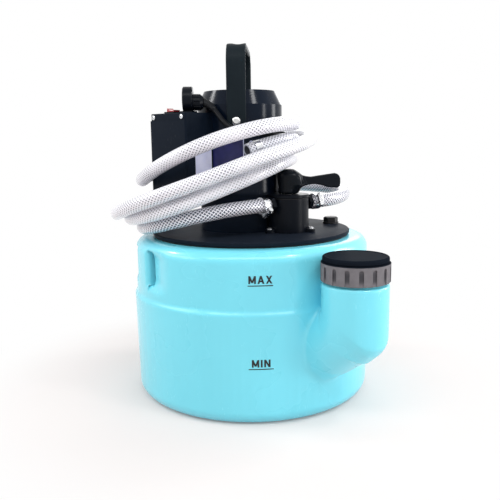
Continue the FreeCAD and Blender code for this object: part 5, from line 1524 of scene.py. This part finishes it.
@dataclass
class LevelMark:
    """A plain level mark on the tank's front: a word and the line under it."""

    word: str
    line_height: float
    letter_height: float = 0.0098
    centre: float = 0.0100
    gap: float = 0.0026
    lift: float = 0.00022
    stroke: float = 0.23
    level_stroke: float = 0.8
    spacing: float = 0.20
    line_half: float = 0.0156
    line_parts: int = 4
    line_thickness: float = 0.0012
    in_front: float = -0.4
    strokes: ClassVar[dict[str, list[tuple[float, float, float, float]]]] = {
        "M": [(0.115, 0, 0.115, 1), (0.115, 1, 0.47, 0.12), (0.47, 0.12, 0.825, 1),
              (0.825, 0, 0.825, 1)],
        "A": [(0.11, 0, 0.42, 1), (0.73, 0, 0.42, 1), (0.24, 0.30, 0.60, 0.30)],
        "X": [(0.12, 0, 0.68, 1), (0.68, 0, 0.12, 1)],
        "I": [(0.115, 0, 0.115, 1)],
        "N": [(0.115, 0, 0.115, 1), (0.135, 1, 0.665, 0), (0.685, 0, 0.685, 1)],
    }

    def build(self, wall: BVHTree) -> bpy.types.Object:
        """Builds the mark laid on the wall.

        Args:
            wall: The tank's skin, to be laid on.

        Returns:
            The mark.
        """
        flat = self.word_corners() + self.line_corners()
        faces = [tuple(range(first, first + 4)) for first in range(0, len(flat), 4)]
        laid = [self.on_wall(wall, x, z) for x, z in flat]
        mark = new_object("level_mark_" + self.word.lower(), laid, faces)
        return dress(mark, MARK_INK, Body.UNIT)

    def word_corners(self) -> list[Pair]:
        """Corners of the word's strokes, four to each, on the flat front.

        Returns:
            The corners in order.
        """
        corners = []
        start = 0.0
        for letter in self.word:
            for stroke in self.strokes[letter]:
                corners += self.stroke_corners(start, stroke)
            start += max(max(stroke[0], stroke[2]) for stroke in self.strokes[letter])
            start += 0.5 * self.stroke + self.spacing
        width = (start - self.spacing) * self.letter_height
        foot = self.line_height + self.gap
        return [(self.centre - width / 2.0 + x * self.letter_height,
                 foot + z * self.letter_height) for x, z in corners]

    def line_corners(self) -> list[Pair]:
        """Corners of the line's parts, four to each, on the flat front.

        Returns:
            The corners in order.
        """
        half = self.line_thickness / 2.0
        length = 2.0 * self.line_half / self.line_parts
        corners = []
        for part in range(self.line_parts):
            left = self.centre - self.line_half + length * part
            right = left + length
            low, high = self.line_height - half, self.line_height + half
            corners += [(left, low), (right, low), (right, high), (left, high)]
        return corners

    def stroke_corners(
        self, start: float, stroke: tuple[float, float, float, float]
    ) -> list[Pair]:
        """Four corners of a stroke, cut level at its ends.

        Args:
            start: Where its letter starts.
            stroke: Its two ends, in letter heights.

        Returns:
            The corners.
        """
        x0, z0, x1, z1 = stroke
        half = self.stroke / 2.0
        if z0 == z1:
            half *= self.level_stroke
            corners = [(x0, z0 - half), (x1, z1 - half), (x1, z1 + half), (x0, z0 + half)]
        else:
            corners = [(x0 - half, z0), (x0 + half, z0), (x1 + half, z1), (x1 - half, z1)]
        return [(start + x, z) for x, z in corners]

    def on_wall(self, wall: BVHTree, x: float, z: float) -> Vector:
        """The point just off the wall at a place of the front.

        Args:
            wall: The tank's skin.
            x: Place across the front.
            z: Height.

        Returns:
            The point.
        """
        start = Vector((x, self.in_front, z))
        hit, _normal, _number, _reach = wall.ray_cast(start, Vector((0, 1, 0)))
        return hit + Vector((0, -self.lift, 0))


@dataclass
class RatingLabel:
    """The two-part label, left bare: a pale strip on the box and a navy part on the motor, whose
    edge carries a pale line as a painted highlight.
    """

    box_corner: Pair = (-0.084, -0.076)
    strip: Pair = (0.0150, 0.0440)
    motor: Pair = MOTOR_AXIS
    motor_radius: float = 0.0598
    arc: Pair = (-41.0, 5.5)
    # width of the painted highlight at the navy part's edge, in degrees
    highlight_arc: float = 1.2
    facet_arc: float = 2.0
    low: float = 0.308
    strip_top: float = 0.354
    high: float = 0.362
    lift: float = 0.00025

    def build(self) -> None:
        """Builds the strip, the navy part and the pale line at its edge, a painted highlight."""
        corner = math.sqrt(0.5)
        strip = []
        for share in self.strip:
            x = self.box_corner[0] + (share + self.lift) * corner
            y = self.box_corner[1] + (share - self.lift) * corner
            strip.append((x, y))
        start, end = self.arc
        edge = end - self.highlight_arc
        self.panel("label_strip", strip, self.strip_top, LABEL_WHITE)
        self.panel("label_navy", self.round_motor(start, edge), self.high, LABEL_NAVY)
        # painted highlight: a pale line along the navy part's edge
        self.panel("label_edge_highlight", self.round_motor(edge, end), self.high, LABEL_WHITE)

    def round_motor(self, start: float, end: float) -> list[Pair]:
        """Plan points round the motor between two angles from its front.

        Args:
            start: The first angle, in degrees.
            end: The last angle.

        Returns:
            The points in order.
        """
        count = max(2, int((end - start) / self.facet_arc) + 1)
        reach = self.motor_radius + self.lift
        angles = np.radians(np.linspace(start, end, count))
        return [(self.motor[0] + reach * math.sin(angle), self.motor[1] - reach * math.cos(angle))
                for angle in angles]

    def panel(
        self, name: str, plan: Sequence[Pair], top: float, finish: Finish
    ) -> bpy.types.Object:
        """Builds an upright panel over plan points.

        Args:
            name: Its name.
            plan: Points of its foot, in plan.
            top: The height of its top.
            finish: What it is printed with.

        Returns:
            The panel.
        """
        points = [(x, y, height) for x, y in plan for height in (self.low, top)]
        faces = [(2 * step, 2 * step + 2, 2 * step + 3, 2 * step + 1)
                 for step in range(len(plan) - 1)]
        return dress(new_object(name, points, faces), finish, Body.UNIT)


class Dressing:
    """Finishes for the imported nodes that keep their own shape."""

    def build(self) -> None:
        """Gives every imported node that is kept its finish."""
        for finish, slot, nodes in KEPT_NODES:
            for node in nodes:
                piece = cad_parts[node]
                for holder in piece.material_slots:
                    holder.material = finish.material()
                LOG.info("node %s: %s", node, finish.name)


@dataclass(frozen=True)
class Lamp:
    """A soft lamp aimed at the pump."""

    name: str
    place: Place
    size: Pair
    power: float
    aim: Place = (0.0, 0.0, 0.2)

    def build(self) -> None:
        """Hangs the lamp at its place and turns it to its aim."""
        light = bpy.data.lights.new(self.name, "AREA")
        light.shape = "RECTANGLE"
        light.size, light.size_y = self.size
        light.energy = self.power
        holder = add_object(self.name, light)
        holder.location = self.place
        ahead = Vector(self.aim) - Vector(self.place)
        holder.rotation_euler = ahead.to_track_quat("-Z", "Y").to_euler()


@dataclass
class Studio:
    """Pale floor, soft lamps, white surround and the camera at the photograph's angle."""

    eye: Place = (-0.00208, -0.9249, 0.3587)
    pitch: float = 9.85
    roll: float = -0.013
    lens: float = 45.95
    sensor: float = 36.0
    floor_tone: Colour = (0.79, 0.710, 0.690)
    floor_half: float = 30.0
    floor_glow: float = 0.15
    glow_run: Pair = (0.18, 0.46)
    surround_strength: float = 0.50
    lamps: ClassVar[tuple[Lamp, ...]] = (
        Lamp("front_strip", (0.0, -1.15, 1.5), (2.4, 0.4), 15.0),
        Lamp("left_strip", (-1.35, -0.25, 0.9), (1.3, 0.35), 5.0),
        Lamp("right_strip", (1.45, 0.35, 0.75), (0.35, 0.9), 11.0),
        Lamp("crown_left", (-1.61, 0.29, 1.62), (0.28, 0.28), 8.0),
        Lamp("crown_top", (1.02, -0.80, 1.97), (0.28, 0.28), 8.0),
        Lamp("right_low", (1.50, -0.60, 0.36), (0.20, 0.60), 5.5),
        Lamp("rear", (0.3, 1.6, 1.0), (1.0, 1.0), 6.0),
    )

    def build(self) -> None:
        """Builds the floor, the surround, the lamps and the camera."""
        self.floor()
        self.surround()
        for lamp in self.lamps:
            lamp.build()
        self.camera()

    def floor(self) -> None:
        """Adds the pale floor, which turns plain white away from the pump."""
        half = self.floor_half
        corners = [(-half, -half, 0), (half, -half, 0), (half, half, 0), (-half, half, 0)]
        ground = new_object("floor", corners, [(0, 1, 2, 3)])
        sheet = NodeSheet("pale floor")
        sheet.finish(Base_Color=self.floor_tone, Roughness=0.9, Specular_IOR_Level=0.1)
        away = sheet.vector("DISTANCE", (0.0, 0.0, 0.0), "Value").between(*self.glow_run)
        amount = sheet.direct_rays() * (self.floor_glow + away * (1.0 - self.floor_glow))
        glow = sheet.add("ShaderNodeEmission", {}, {})
        sheet.show(sheet.add("ShaderNodeMixShader", {}, {0: amount, 1: sheet.shader, 2: glow}))
        ground.data.materials.append(sheet.material)

    def surround(self) -> None:
        """Sets a soft even light with a white surround behind the pump."""
        world = bpy.data.worlds.new("studio")
        bpy.context.scene.world = world
        world.use_nodes = True
        nodes = NodeTree(world.node_tree, "ShaderNodeOutputWorld")
        dim = {"Color": WHITE, "Strength": self.surround_strength}
        soft = nodes.add("ShaderNodeBackground", {}, dim)
        white = nodes.add("ShaderNodeBackground", {}, {"Color": WHITE})
        inputs = {0: nodes.direct_rays(), 1: soft, 2: white}
        nodes.show(nodes.add("ShaderNodeMixShader", {}, inputs))

    def camera(self) -> None:
        """Adds the camera and makes it the scene's."""
        data = bpy.data.cameras.new("photo_view")
        data.sensor_width = self.sensor
        data.lens = self.lens
        data.clip_start = 0.01
        holder = add_object("photo_view", data)
        tilt = Matrix.Rotation(math.radians(90.0 - self.pitch), 4, "X")
        turn = Matrix.Rotation(self.roll, 4, "Z")
        holder.matrix_world = Matrix.Translation(self.eye) @ tilt @ turn
        bpy.context.scene.camera = holder


HOSE_A_ROUTE: list[Place] = [
    (0.0233, -0.0596, 0.270), (-0.0177, -0.0933, 0.270), (-0.076, -0.110, 0.2605),
    (-0.129, -0.085, 0.246), (-0.156, -0.030, 0.237), (-0.154, 0.036, 0.240),
    (-0.116, 0.088, 0.258), (-0.054, 0.112, 0.282), (0.018, 0.102, 0.307),
    (0.056, 0.050, 0.325), (0.061, -0.020, 0.334), (0.026, -0.092, 0.321),
    (-0.044, -0.124, 0.294), (-0.113, -0.115, 0.268), (-0.162, -0.065, 0.254),
    (-0.176, 0.006, 0.249), (-0.160, 0.068, 0.262), (-0.108, 0.116, 0.284),
    (-0.038, 0.132, 0.308), (0.030, 0.110, 0.328), (0.065, 0.054, 0.345),
    (0.067, -0.012, 0.355), (0.046, -0.064, 0.359), (-0.004, -0.094, 0.344),
]

HOSE_B_ROUTE: list[Place] = [
    (0.0836, -0.0159, 0.270), (0.122, 0.0088, 0.270), (0.148, 0.060, 0.275),
    (0.136, 0.122, 0.280), (0.054, 0.160, 0.283), (-0.046, 0.158, 0.278),
    (-0.126, 0.134, 0.266), (-0.185, 0.086, 0.258), (-0.197, 0.008, 0.253),
    (-0.179, -0.069, 0.264), (-0.129, -0.120, 0.285), (-0.060, -0.137, 0.309),
    (0.016, -0.120, 0.337), (0.070, -0.072, 0.352), (0.090, 0.000, 0.360),
    (0.075, 0.070, 0.364), (0.024, 0.118, 0.358), (-0.046, 0.126, 0.342),
    (-0.110, 0.098, 0.322), (-0.154, 0.044, 0.307), (-0.157, -0.020, 0.301),
    (-0.118, -0.086, 0.327), (-0.054, -0.118, 0.356), (0.014, -0.104, 0.375),
    (0.060, -0.048, 0.380), (0.064, 0.018, 0.380), (0.036, 0.074, 0.379),
    (-0.022, 0.096, 0.376),
]

LEAD_ROUTE: list[Place] = [
    (-0.0625, -0.043, 0.4085), (-0.0535, -0.0465, 0.405), (-0.043, -0.057, 0.393),
    (-0.033, -0.068, 0.379), (-0.016, -0.0735, 0.368), (0.007, -0.067, 0.365),
    (0.029, -0.050, 0.366), (0.046, -0.025, 0.366), (0.0535, 0.006, 0.361),
    (0.045, 0.038, 0.348), (0.022, 0.061, 0.328), (-0.006, 0.073, 0.303),
    (-0.032, 0.073, 0.276), (-0.051, 0.079, 0.255), (-0.0522, 0.0995, 0.2488),
]


def main() -> None:
    """Builds the studio, the cords, the tank and its marks, and dresses the rest."""
    logging.basicConfig(level=logging.INFO, format="%(message)s")
    Studio().build()
    BraidedHose("braided_hose_a", "hose_a", HOSE_A_ROUTE, ()).build()
    BraidedHose("braided_hose_b", "hose_b", HOSE_B_ROUTE, ("port_clamps", "end_clamps")).build()
    PowerLead(LEAD_ROUTE).build()
    skin = TankSkin().build()
    wall = BVHTree.FromObject(skin, bpy.context.evaluated_depsgraph_get())
    LevelMark("MAX", 0.1824).build(wall)
    LevelMark("MIN", 0.0765).build(wall)
    RatingLabel().build()
    LeverSkin(
        "valve_lever", GLOSS_BLACK, Slot.BLACK, Body.VALVE, voxel=0.0009, rounds=24
    ).build()
    CowlSkin().build()
    MouldedSkin(
        "carry_handle", HANDLE_BLACK, Slot.MATTE_BLACK, Body.UNIT, voxel=0.0013, rounds=5
    ).build()
    Dressing().build()
    view = bpy.context.scene.view_settings
    view.view_transform = "Standard"


if __name__ == "__main__":
    main()
